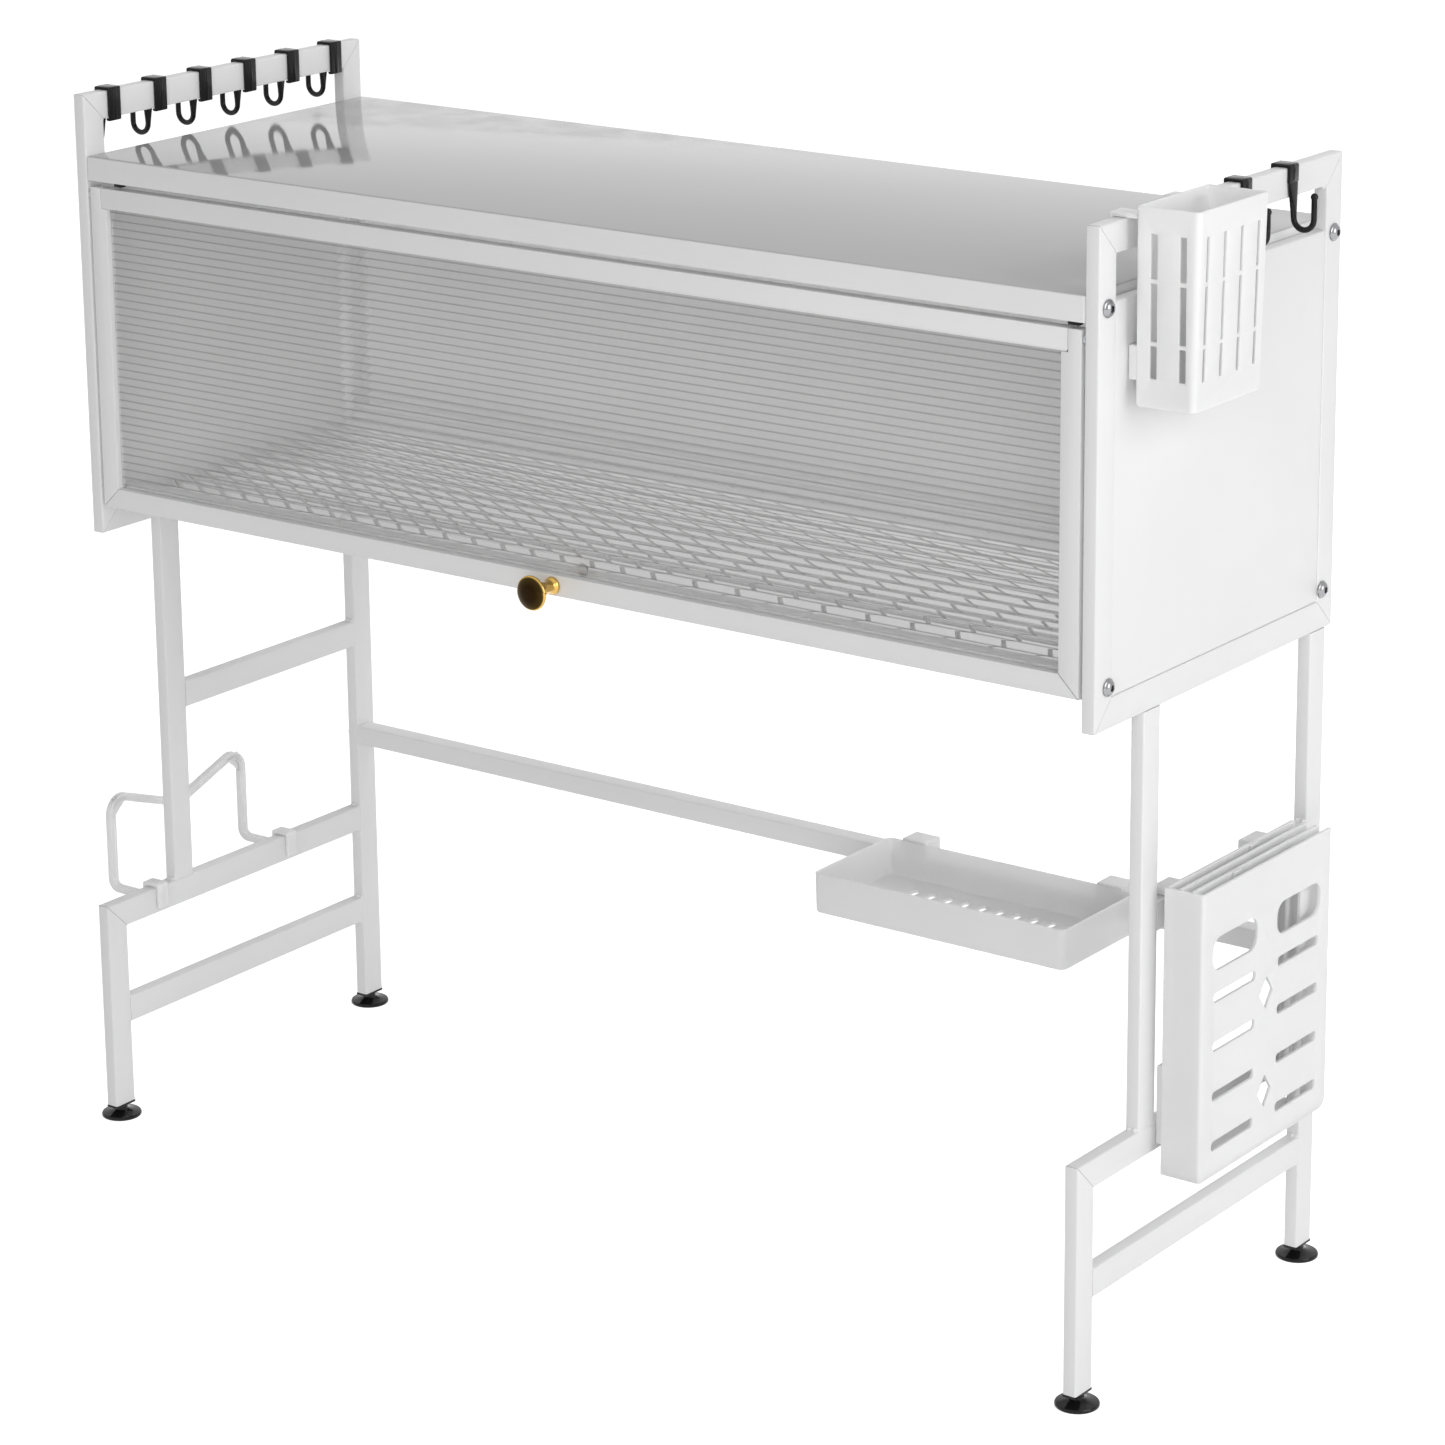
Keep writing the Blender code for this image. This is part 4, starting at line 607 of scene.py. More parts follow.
def plate(name, outline, thickness, axis, middle, holes=()):
    """A flat plate of even thickness across an axis, with holes; the outline is in the other two axes."""
    curve = bpy.data.curves.new(name, "CURVE")
    curve.dimensions = "2D"
    curve.fill_mode = "BOTH"
    curve.extrude = thickness / 2
    curve.resolution_u = 1
    for loop in (outline, *holes):
        spline = curve.splines.new("POLY")
        spline.points.add(len(loop) - 1)
        for spot, (u, v) in zip(spline.points, loop):
            spot.co = (u, v, 0, 1)
        spline.use_cyclic_u = True
    mesh = baked(add_object(name, curve))
    shape = bmesh.new()
    shape.from_mesh(mesh)
    bpy.data.meshes.remove(mesh)
    bmesh.ops.remove_doubles(shape, verts=shape.verts, dist=1e-6)
    bmesh.ops.dissolve_limit(shape, angle_limit=0.01, verts=shape.verts, edges=shape.edges)
    order = {"X": (2, 0, 1), "Y": (0, 2, 1), "Z": (0, 1, 2)}[axis]
    for vert in shape.verts:
        spot = vert.co.copy()
        vert.co = [spot[i] for i in order]
        vert.co["XYZ".index(axis)] += middle
    return mesh_from(shape, name)


def cube(low, high):
    """A bmesh of one box."""
    shape = bmesh.new()
    size = [b - a for a, b in zip(low, high)]
    matrix = Matrix.Translation(centre_of(low, high)) @ Matrix.Diagonal((*size, 1))
    bmesh.ops.create_cube(shape, size=1, matrix=matrix)
    return shape


def block(name, low, high, radius):
    """A box with all of its edges rounded."""
    shape = cube(low, high)
    bmesh.ops.bevel(shape, geom=shape.edges, offset=radius, segments=3, profile=0.5, affect="EDGES")
    return mesh_from(shape, name)


def pressed_sheet(name, low, high, open_side, bend, wall):
    """A sheet with its edges turned over: a box without one side, with round bends and a wall."""
    axis = "XYZ".index(open_side[1])
    want = 1 if open_side[0] == "+" else -1
    shape = cube(low, high)
    bmesh.ops.recalc_face_normals(shape, faces=shape.faces)
    lid = [face for face in shape.faces if face.normal[axis] * want > 0.5]
    bmesh.ops.delete(shape, geom=lid, context="FACES_ONLY")
    folds = [edge for edge in shape.edges if not edge.is_boundary]
    bmesh.ops.bevel(shape, geom=folds, offset=bend, segments=4, profile=0.5, affect="EDGES")
    mesh = bpy.data.meshes.new(name)
    shape.to_mesh(mesh)
    shape.free()
    return changed(mesh, "SOLIDIFY", thickness=wall, offset=-1, use_even_offset=True)


def weld(shape, low_x, high_x, y, z, radius):
    """A weld bead along X: a row of small overlapping lumps."""
    count = max(3, round((high_x - low_x) / (radius * 1.3)))
    for i in range(count):
        x = low_x + (high_x - low_x) * (i + 0.5) / count
        wobble = 1 + 0.12 * math.sin(2.4 * i + 900 * y + 500 * z)
        matrix = Matrix.Translation((x, y, z)) @ Matrix.Diagonal((1.0, wobble, wobble, 1))
        bmesh.ops.create_uvsphere(shape, u_segments=8, v_segments=5, radius=radius, matrix=matrix)


# Pieces

def build_side_frames(sizes):
    """Mitred tube rectangles at the two ends of the cabinet."""
    outer = rectangle(FRONT, SIDE_BOTTOM, REAR, SIDE_TOP)
    deep, inset = TUBE_DEEP, 0.0025
    inner = rectangle(FRONT + deep, SIDE_BOTTOM + deep, REAR - deep, SIDE_TOP - deep)
    for tag, (low_x, high_x, _) in SIDES.items():
        shape = bmesh.new()
        for i in range(4):
            j = (i + 1) % 4
            way = (Vector(outer[j]) - Vector(outer[i])).normalized() * sizes.mitre_seam
            starts = [Vector(ring[i]) + way for ring in (outer, inner)]
            ends = [Vector(ring[j]) - way for ring in (outer, inner)]
            corners = [starts[0], ends[0], ends[1], starts[1]]
            side_member(shape, corners, low_x, high_x, sizes.tube_round)
        for y, z in inner:
            inward_y = y + math.copysign(sizes.weld_bead * 0.2, (FRONT + REAR) / 2 - y)
            inward_z = z + math.copysign(sizes.weld_bead * 0.2, (SIDE_TOP + SIDE_BOTTOM) / 2 - z)
            weld(shape, low_x + inset, high_x - inset, inward_y, inward_z, sizes.weld_bead)
        piece("rack_side_" + tag, shape, "frame", "white_steel", ["side_frame_" + tag])


def build_leg_frames(sizes):
    """Welded tube frames: a mitred step at the front, an upper leg, a rear leg and three rails."""
    bottom, top = LEG_LOW.z, LEG_HIGH.z
    front, rear = LEG_LOW.y, LEG_HIGH.y
    upper = FRONT + UPPER_LEG_BACK
    rear_in = rear - TUBE_DEEP
    base, low, high = (bottom + rail for rail in (BASE_RAIL_TOP, LOW_RAIL_TOP, HIGH_RAIL_TOP))
    seam, deep, inset = sizes.mitre_seam, TUBE_DEEP, 0.0018
    members = [
        [(front, bottom), (front, base - seam), (front + deep, base - deep - seam), (front + deep, bottom)],
        [(front + seam, base), (rear_in, base), (rear_in, base - deep), (front + deep + seam, base - deep)],
        [(front + deep, low), (rear_in, low), (rear_in, low - deep), (front + deep, low - deep)],
        [(upper, base), (upper, top), (upper + deep, top), (upper + deep, base)],
        [(upper + deep, high), (rear_in, high), (rear_in, high - deep), (upper + deep, high - deep)],
        [(rear_in, bottom), (rear_in, top), (rear, top), (rear, bottom)],
    ]
    beads = [
        (upper, base), (upper + deep, base), (front + deep, base - deep), (rear_in, base),
        (rear_in, base - deep), (front + deep, low), (front + deep, low - deep), (rear_in, low),
        (rear_in, low - deep), (upper + deep, high), (upper + deep, high - deep), (rear_in, high),
        (rear_in, high - deep)]
    for tag, (low_x, high_x, _) in SIDES.items():
        shape = bmesh.new()
        for corners in members:
            side_member(shape, corners, low_x, high_x, sizes.tube_round)
        for y, z in beads:
            weld(shape, low_x + inset, high_x - inset, y, z, sizes.weld_bead)
        piece("rack_legs_" + tag, shape, "frame", "white_steel", ["leg_frame_" + tag])


def build_cabinet_sheets():
    """The pressed panels at the two ends and the back, and the glossy top plate with its weld nuts."""
    for name, node, open_side in (
            ("cabinet_end_left", "side_panel_left", "+X"), ("cabinet_end_right", "side_panel_right", "-X"),
            ("cabinet_back", "back_panel", "-Y")):
        mesh = pressed_sheet(name, *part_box(node), open_side, *PANEL_SHEET)
        piece(name, mesh, "frame", "white_steel", [node])
    low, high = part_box("top_plate")
    lips = ["top_lip_front", "top_lip_rear", "top_lip_left", "top_lip_right"]
    low.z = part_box(lips[0])[0].z
    parts = [pressed_sheet("cabinet_top", low, high, "-Z", *TOP_SHEET)]
    hole, flat, corner, bevel = 0.0026, 0.005, 0.0056, 0.0006
    for node, (_, y, z), tag in nodes_named("frame_bolt_"):
        if "_top_" not in node:
            continue
        lip_low, lip_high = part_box("top_lip_" + tag)
        half = (lip_high.x - lip_low.x) / 2
        nut = [
            (hole, half), (flat, half), (corner, half - bevel), (corner, -half), (hole, -half), (hole, half)]
        place = Matrix.Translation(((lip_low.x + lip_high.x) / 2, y, z))
        parts.append(lathed("weld_nut", nut, 6, place @ Matrix.Rotation(math.pi / 2, 4, "Y")))
    piece("cabinet_top", parts, "frame", "white_sheet", ["top_plate", *lips])


def build_door_pads():
    """Two small black pads under the top plate's front lip, above the door's corners."""
    lip_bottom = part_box("top_lip_front")[0].z
    near, far, thick = 0.0006, 0.0066, 0.0026
    parts = []
    for start, end in DOOR_PADS:
        low, high = rack(start, near, lip_bottom - thick), rack(end, far, lip_bottom)
        parts.append(block("door_pad", low, high, 0.001))
    piece("door_pads", parts, "frame", "black_plastic")


def build_rails(sizes):
    """The two shelf rails and the crossbar between the rear legs."""
    for node in ("shelf_rail_front", "shelf_rail_rear", "crossbar"):
        low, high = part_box(node)
        shape = bmesh.new()
        start, end = (
            [(x, y, z) for y, z in rectangle(low.y, low.z, high.y, high.z)] for x in (low.x, high.x))
        member(shape, start, end, sizes.tube_round)
        piece("rack_" + node, shape, "frame", "white_steel", [node])


def build_wire_shelf(sizes):
    """The welded wire grid: long wires below, and cross wires on top of them in three fields."""
    low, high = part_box("wire_shelf")
    radius = sizes.shelf_wire / 2
    apart = radius * 0.7
    lower, upper = low.z + radius - apart, high.z - radius + apart
    low_x, high_x = low.x + radius, high.x - radius
    low_y, high_y = low.y + radius, high.y - radius
    wires = []
    rows = round((high_y - low_y) / sizes.shelf_pitch_y)
    for i in range(rows + 1):
        y = low_y + (high_y - low_y) * i / rows
        wires.append(((low_x, y, lower), (high_x, y, lower)))
    ends = (low_x, *(rack(x, 0, 0).x for x in SHELF_MIDDLE_FIELD), high_x)
    for start, end, pitch in zip(ends, ends[1:], sizes.shelf_pitches):
        columns = round((end - start) / pitch)
        for i in range(columns + (end == high_x)):
            x = start + (end - start) * i / columns
            wires.append(((x, low_y - radius, upper), (x, high_y + radius, upper)))
    shape = bmesh.new()
    for start, end in wires:
        start, end = Vector(start), Vector(end)
        turn = (end - start).to_track_quat("Z", "Y").to_matrix().to_4x4()
        bmesh.ops.create_cone(
            shape, cap_ends=True, segments=8, radius1=radius, radius2=radius, depth=(end - start).length,
            matrix=Matrix.Translation((start + end) / 2) @ turn)
    # The wires keep the white steel slot and take the painted-shade copy of the powder coat.
    piece("dish_shelf", shape, "frame", "white_steel", ["wire_shelf"], "wire_steel")


def build_bolts():
    """Button-head bolts with a rolled flange and a hexagon socket."""
    radius, height, socket, sunk = 0.006, 0.0035, 0.0024, 0.002
    shank, flange, dome = 0.0025, 0.0011, 62
    steps = 36

    def hexagon(reach, level):
        """A ring of the socket: points of a circle moved onto six flats."""
        points = []
        for i in range(steps):
            turn = 2 * math.pi * i / steps
            side = (turn % (math.pi / 3)) - math.pi / 6
            flat = reach * math.cos(math.pi / 6) / math.cos(side)
            points.append((flat * math.cos(turn), flat * math.sin(turn), level))
        return points

    rings = [circle(steps, reach, level) for reach, level in (
        (shank, -0.004), (shank, 0.0), (radius * 0.97, 0.0), (radius, 0.0004), (radius * 0.97, 0.0009),
        (radius * 0.9, flange), (radius * 0.86, 0.0013))]
    for u, v in arc(12, dome, 7):
        level = flange + (height - flange) * v / math.sin(math.radians(dome))
        rings.append(circle(steps, radius * 0.84 * u, level))
    rings += [
        hexagon(socket + 0.0003, height), hexagon(socket, height - 0.0003), hexagon(socket, height - sunk),
        hexagon(socket * 0.5, height - sunk - 0.0005)]
    mesh = skinned("button_bolt", rings, True, True)
    for node, (_, y, z), tag in nodes_named("frame_bolt_", "crossbar_bolt_"):
        low_x, high_x, side = SIDES[tag]
        face = high_x if side > 0 else low_x
        obj = piece("button_" + node, mesh, "frame", "chrome", [node])
        turn = Matrix.Rotation(side * math.pi / 2, 4, "Y")
        obj.matrix_world = Matrix.Translation((face + side * FIT, y, z)) @ turn


def build_feet():
    """Levelling feet: a round pad with a rubber underside, a domed top and a threaded stem."""
    low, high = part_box("foot_left_front")
    radius = (high.x - low.x) / 2
    top = high.z - low.z
    profile = [(0, 0.0006), (radius * 0.8, 0.0006), (radius * 0.86, 0.0), (radius * 0.97, 0.0)]
    profile += [(radius, 0.0005), (radius, 0.0019), (radius * 0.96, 0.0027), (radius * 0.75, 0.0033)]
    profile += [(0.0062, 0.0044), (0.005, 0.0052), (0.0047, 0.006), (0.0047, 0.0078), (0.0042, 0.008)]
    thread, pitch = 0.008, 0.0008
    while thread < top - pitch:
        profile += [(0.0021, thread + 0.0002), (0.0025, thread + 0.0006)]
        thread += pitch
    profile += [(0.0018, top - 0.0002), (0, top)]
    mesh = lathed("levelling_foot", profile, 40)
    for tag in ("left", "right"):
        for where in ("front", "rear"):
            node = "foot_" + tag + "_" + where
            low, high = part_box(node)
            obj = piece("levelling_" + node, mesh, tag + "_" + where + "_foot", "black_plastic", [node])
            obj.location = ((low.x + high.x) / 2, (low.y + high.y) / 2, low.z)


def build_door_frame(sizes):
    """The door's four members: a top rail lapped over the stiles and a mitred bottom rail."""
    head_low, head_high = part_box("door_rail_top")
    head = rounded(rectangle(head_low.x, head_low.z, head_high.x, head_high.z), (0.0022, 0.0022, 0, 0))
    mesh = plate("door_head", head, head_high.y - head_low.y, "Y", (head_low.y + head_high.y) / 2)
    piece("door_head", soften(mesh, sizes.door_round), "door", "white_steel", ["door_rail_top"])
    low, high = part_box("door_rail_bottom")
    left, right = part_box("door_stile_left")[0].x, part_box("door_stile_right")[1].x
    face, seam = high.z - low.z, sizes.door_seam
    shape = bmesh.new()
    rings = []
    for outer, way in ((left, 1), (right, -1)):
        near, far = (outer + way * seam, low.z), (outer + way * face + seam * way, high.z)
        rings.append([
            (near[0], low.y, near[1]), (near[0], high.y, near[1]), (far[0], high.y, far[1]),
            (far[0], low.y, far[1])])
    member(shape, *rings, sizes.door_round, 2)
    piece("door_sill", shape, "door", "white_steel", ["door_rail_bottom"])
    step = head_low.z - FIT
    for tag, outer, inner, edge in (
            ("left", left, left + face, head_low.x - FIT), ("right", right, right - face, head_high.x + FIT)):
        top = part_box("door_stile_" + tag)[1].z
        outline = [
            (outer, low.z + seam), (inner, high.z + seam), (inner, step), (edge, step), (edge, top),
            (outer, top)]
        mesh = plate("door_stile_" + tag, outline, high.y - low.y, "Y", (low.y + high.y) / 2)
        mesh = soften(mesh, sizes.door_round)
        piece("door_post_" + tag, mesh, "door", "white_steel", ["door_stile_" + tag])


def build_door_sheet(sizes):
    """The clear sheet of the door, with round level flutes on its front."""
    low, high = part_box("door_panel")
    count, pitch = flutes(low, high, sizes.flute_pitch)
    steps = 8
    outline = []
    for i in range(count * steps + 1):
        turn = (i % steps) / steps
        crown = 1 - (2 * turn - 1) ** 2
        outline.append((low.y + sizes.flute_depth * (1 - crown), low.z + pitch * i / steps))
    outline += [(high.y, high.z), (high.y, low.z)]
    rings = [[(x, y, z) for y, z in outline] for x in (low.x, high.x)]
    mesh = skinned("door_sheet", rings, True, True)
    piece("door_sheet", mesh, "door", "fluted_plastic", ["door_panel"], angle=60)


def build_knob():
    """The round pull: a stepped neck and a dished disc with a dark polished face."""
    low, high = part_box("door_knob")
    disc = (high.x - low.x) / 2
    out = high.y - low.y
    foot = [(0, 0.0), (0.006, 0.0), (0.0063, 0.0006), (0.006, 0.0022), (0.005, 0.003)]
    neck = [(0.0044, 0.0045), (0.0042, 0.007), (0.0045, 0.0095), (0.0052, 0.012), (0.0055, 0.014)]
    neck += [(0.0048, 0.0152), (0.0046, 0.0168), (0.0056, 0.0182)]
    head = [
        (0.55, 0.0072), (0.8, 0.0062), (0.95, 0.005), (1, 0.004), (1, 0.0034), (0.985, 0.0029),
        (0.965, 0.0026), (0.93, 0.0023), (0.82, 0.0016), (0.65, 0.0009), (0.45, 0.0004), (0.22, 0.0001),
        (0, 0)]
    profile = foot + neck + [(disc * share, out - back) for share, back in head]
    mesh = lathed("door_pull", profile, 64, facing_front(low, high))
    mesh.materials.append(FINISHES["gold_brass"])
    mesh.materials.append(FINISHES["smoked_face"])
    smooth(mesh, 50)
    x, _, z = centre_of(low, high)
    for polygon in mesh.polygons:
        spot = polygon.center
        if spot.y < low.y + 0.00215 and math.hypot(spot.x - x, spot.z - z) < disc * 0.93:
            polygon.material_index = 1
    piece("door_pull", mesh, "door", "gold_brass", ["door_knob"])


def build_stop():
    """The small clear stop behind the door's bottom rail."""
    low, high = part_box("door_bumper")
    radius = (high.x - low.x) / 2
    deep = high.y - low.y
    profile = [(0, 0), (radius * 0.92, 0), (radius, deep * 0.12), (radius, deep * 0.55)]
    profile += [(radius * u, deep * (0.55 + 0.45 * v)) for u, v in arc(15, 90, 5)]
    mesh = lathed("door_stop", profile, 28, facing_front(low, high))
    piece("door_stop", mesh, "door", "clear_plastic", ["door_bumper"])


def oval(centre, side, wide, thick, power=2.0):
    """One ring of a hook, wide along Y: an ellipse, or a box with round corners at a higher power."""
    count = 16
    points = []
    for i in range(count):
        angle = 2 * math.pi * i / count
        c, s = math.cos(angle), math.sin(angle)
        u = math.copysign(abs(c) ** (2 / power), c) * thick
        v = math.copysign(abs(s) ** (2 / power), s) * wide
        points.append(Vector(centre) + Vector(side) * u + Vector((0, v, 0)))
    return points


def build_hooks():
    """Clip-on hooks: a ribbed saddle over the rail, a tapered stem and a round J with a ball tip."""
    half, wall, width = 0.0053, 0.002, 0.012
    deep, wire, bend, ball = TUBE_DEEP, 0.002, 0.0075, 0.0026
    top = FIT + wall
    outline = [
        (-half - wall, top), (half + wall, top), (half + wall, -0.01), (half, -0.01),
        (half, FIT), (-half, FIT), (-half, -deep - FIT), (-half + 0.0025, -deep - FIT),
        (-half + 0.0012, -deep - FIT - wall), (-half - wall, -deep - FIT - wall)]
    radii = (0.001, 0.0016, 0.0007, 0, 0.0006, 0.0006, 0, 0.0006, 0.0006, 0.001)
    parts = [soften(plate("saddle", rounded(outline, radii, 4), width, "Y", 0), 0.0005, 50)]
    for way, foot in ((1, -0.0085), (-1, -deep - 0.0016)):
        rings = []
        for z, reach in ((top - 0.0002, 0.0), (-0.001, 0.0009), (foot + 0.001, 0.0009), (foot, 0.0003)):
            rings.append([
                (way * (half + wall - 0.0002 + reach * u), 0.0019 * v, z) for u, v in arc(-90, 90, 8)])
        parts.append(skinned("rib", rings, True, True))
    rings = []
    stem_x, stem_top, stem_end, thin = half + wire, -0.009, -0.033, 0.00095
    for share in (0.0, 0.12, 0.25, 0.4, 0.55, 0.7, 0.85, 1.0):
        wide = wire + (width / 2 - 0.0004 - wire) * (1 - share ** 1.5) ** 1.2
        thick = thin + (wire - thin) * share
        centre = (half + thick + (stem_x - half - wire) * share, 0, stem_top + (stem_end - stem_top) * share)
        rings.append(oval(centre, (1, 0, 0), wide, thick, 4 - 2 * share))
    for i in range(1, 13):
        angle = math.pi * i / 12
        centre = (stem_x + bend * (1 - math.cos(angle)), 0, stem_end - bend * math.sin(angle))
        rings.append(oval(centre, (math.cos(angle), 0, math.sin(angle)), wire, wire))
    tip_x, tip_z = stem_x + 2 * bend, -0.018
    rings.append(oval((tip_x, 0, tip_z - 0.003), (-1, 0, 0), wire, wire))
    for angle in (-40, -15, 15, 45, 70):
        reach = ball * math.cos(math.radians(angle))
        z = tip_z + ball * math.sin(math.radians(angle))
        rings.append(oval((tip_x, 0, z), (-1, 0, 0), reach, reach))
    rings.append([(tip_x, 0, tip_z + ball)])
    parts.append(skinned("jay", rings, True))
    mesh = joined("clip_hook", parts)
    for node, (_, y, _), tag in nodes_named("hook_"):
        low_x, high_x, side = SIDES[tag]
        obj = piece("clip_" + node, mesh, node.replace("hook_" + tag, tag + "_hook"), "black_plastic", [node])
        turn = Matrix() if side > 0 else Matrix.Rotation(math.pi, 4, "Z")
        obj.matrix_world = Matrix.Translation(((low_x + high_x) / 2, y, SIDE_TOP)) @ turn


def clip(name, rail_w, arm, down, rise, width, round_by):
    """A clip over a rail, across Y, with 0 at the rail's middle and top; arm is the far end of its top."""
    half = rail_w / 2 + FIT
    outline = [
        (arm, FIT), (arm, FIT + rise), (-half - CLIP_THICK, FIT + rise), (-half - CLIP_THICK, -down),
        (-half, -down), (-half, FIT)]
    radii = (0, 0.0012, 0.0018, 0.0008, 0.0004, 0.0004)
    return soften(plate(name, rounded(outline, radii, 4), width, "Y", 0), round_by)


def moved(mesh, x, y, z, turn=0.0):
    """A mesh turned about Z and moved into place."""
    mesh.transform(Matrix.Translation((x, y, z)) @ Matrix.Rotation(turn, 4, "Z"))
    return mesh


def clip_on_right(name, holder_x, y, rail_top, rise, width):
    """A clip from a holder's inner wall over a rail of the right side."""
    rail_middle = (RIGHT_LOW.x + RIGHT_HIGH.x) / 2
    rail_w = RIGHT_HIGH.x - RIGHT_LOW.x
    part = clip(name, rail_w, holder_x - rail_middle, CLIP_DOWN, rise, width, 0.0006)
    return moved(part, rail_middle, y, rail_top)


def spacer(name, holder_x, y, half, low_z, high_z, radius):
    """A block between the right side's tube and a holder's inner wall."""
    return block(name, (RIGHT_HIGH.x + FIT, y - half, low_z), (holder_x, y + half, high_z), radius)


def tub(name, low, high, wall, corner, foot, draft, rim):
    """An open-topped moulded box: corner radii in plan, a rounded foot, draft and a rounded rim."""
    def level(z, grow):
        """One outline at a height, moved outward by grow."""
        down = (high[2] - z) / (high[2] - low[2])
        low_x = low[0] - grow + draft[0] * down
        low_y = low[1] - grow + draft[1] * down
        high_x = high[0] + grow - draft[2] * down
        high_y = high[1] + grow - draft[1] * down
        radii = [max(0.0004, radius + grow) for radius in corner]
        return [(x, y, z) for x, y in rounded(rectangle(low_x, low_y, high_x, high_y), radii, 6)]

    floor, inner_foot = low[2] + wall, foot * 0.6
    rings = [level(floor + inner_foot * (1 + v), -wall - inner_foot * (1 - u)) for u, v in arc(-90, 0, 4)]
    rings += [level(high[2] - rim + rim * v, -wall / 2 + wall / 2 * u) for u, v in arc(180, 0, 6)]
    rings += [level(low[2] + foot * (1 + v), -foot * (1 - u)) for u, v in arc(0, -90, 5)]
    return skinned(name, rings, True, True)


def slot_cutter(name, outlines, thickness, axis, middle):
    """One mesh of separate plates that cut slots."""
    return joined(name, [plate(name + "_part", outline, thickness, axis, middle) for outline in outlines])


def build_caddy(sizes):
    """The tall utensil caddy: a drafted box with rows of drain slots, on two clips."""
    low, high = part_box("utensil_caddy")
    inner = RIGHT_HIGH.x + STANDOFF
    start, end = Vector((inner, low.y, low.z)), Vector((high.x, high.y, high.z))
    span = end - start
    wall = sizes.wall
    corners, draft = (0.002, 0.004, 0.004, 0.002), (0.0, 0.0012, 0.003)
    mesh = tub("caddy_box", start, end, wall, corners, 0.0022, draft, 0.0008)
    front_slots, side_slots = [], []
    for high_share, low_share in ((0.13, 0.355), (0.375, 0.665), (0.685, 0.85)):
        ends = (end.z - span.z * low_share, end.z - span.z * high_share)
        for share in (0.28, 0.74):
            front_slots.append(slot_outline(start.x + span.x * share, *ends, 0.0024, 0.0007, 2))
        for share in (0.14, 0.38, 0.62, 0.86):
            side_slots.append(slot_outline(start.y + span.y * share, *ends, 0.0017, 0.0007, 2))
    mesh = cut(mesh, slot_cutter("front_slots", front_slots, span.y * 1.2, "Y", (start.y + end.y) / 2))
    mesh = cut(mesh, slot_cutter("side_slots", side_slots, 0.012, "X", end.x))
    parts = [soften(mesh, sizes.moulding_round, 50)]
    holder_x = inner + wall / 2
    for share in (0.09, 0.84):
        y = start.y + span.y * share
        parts.append(clip_on_right("caddy_clip", holder_x, y, SIDE_TOP, CLIP_THICK, 0.013))
        parts.append(spacer("caddy_tab", holder_x, y, 0.00325, low.z + 0.016, low.z + 0.038, 0.0008))
    piece("cutlery_caddy", parts, "caddy", "white_plastic", ["utensil_caddy"])


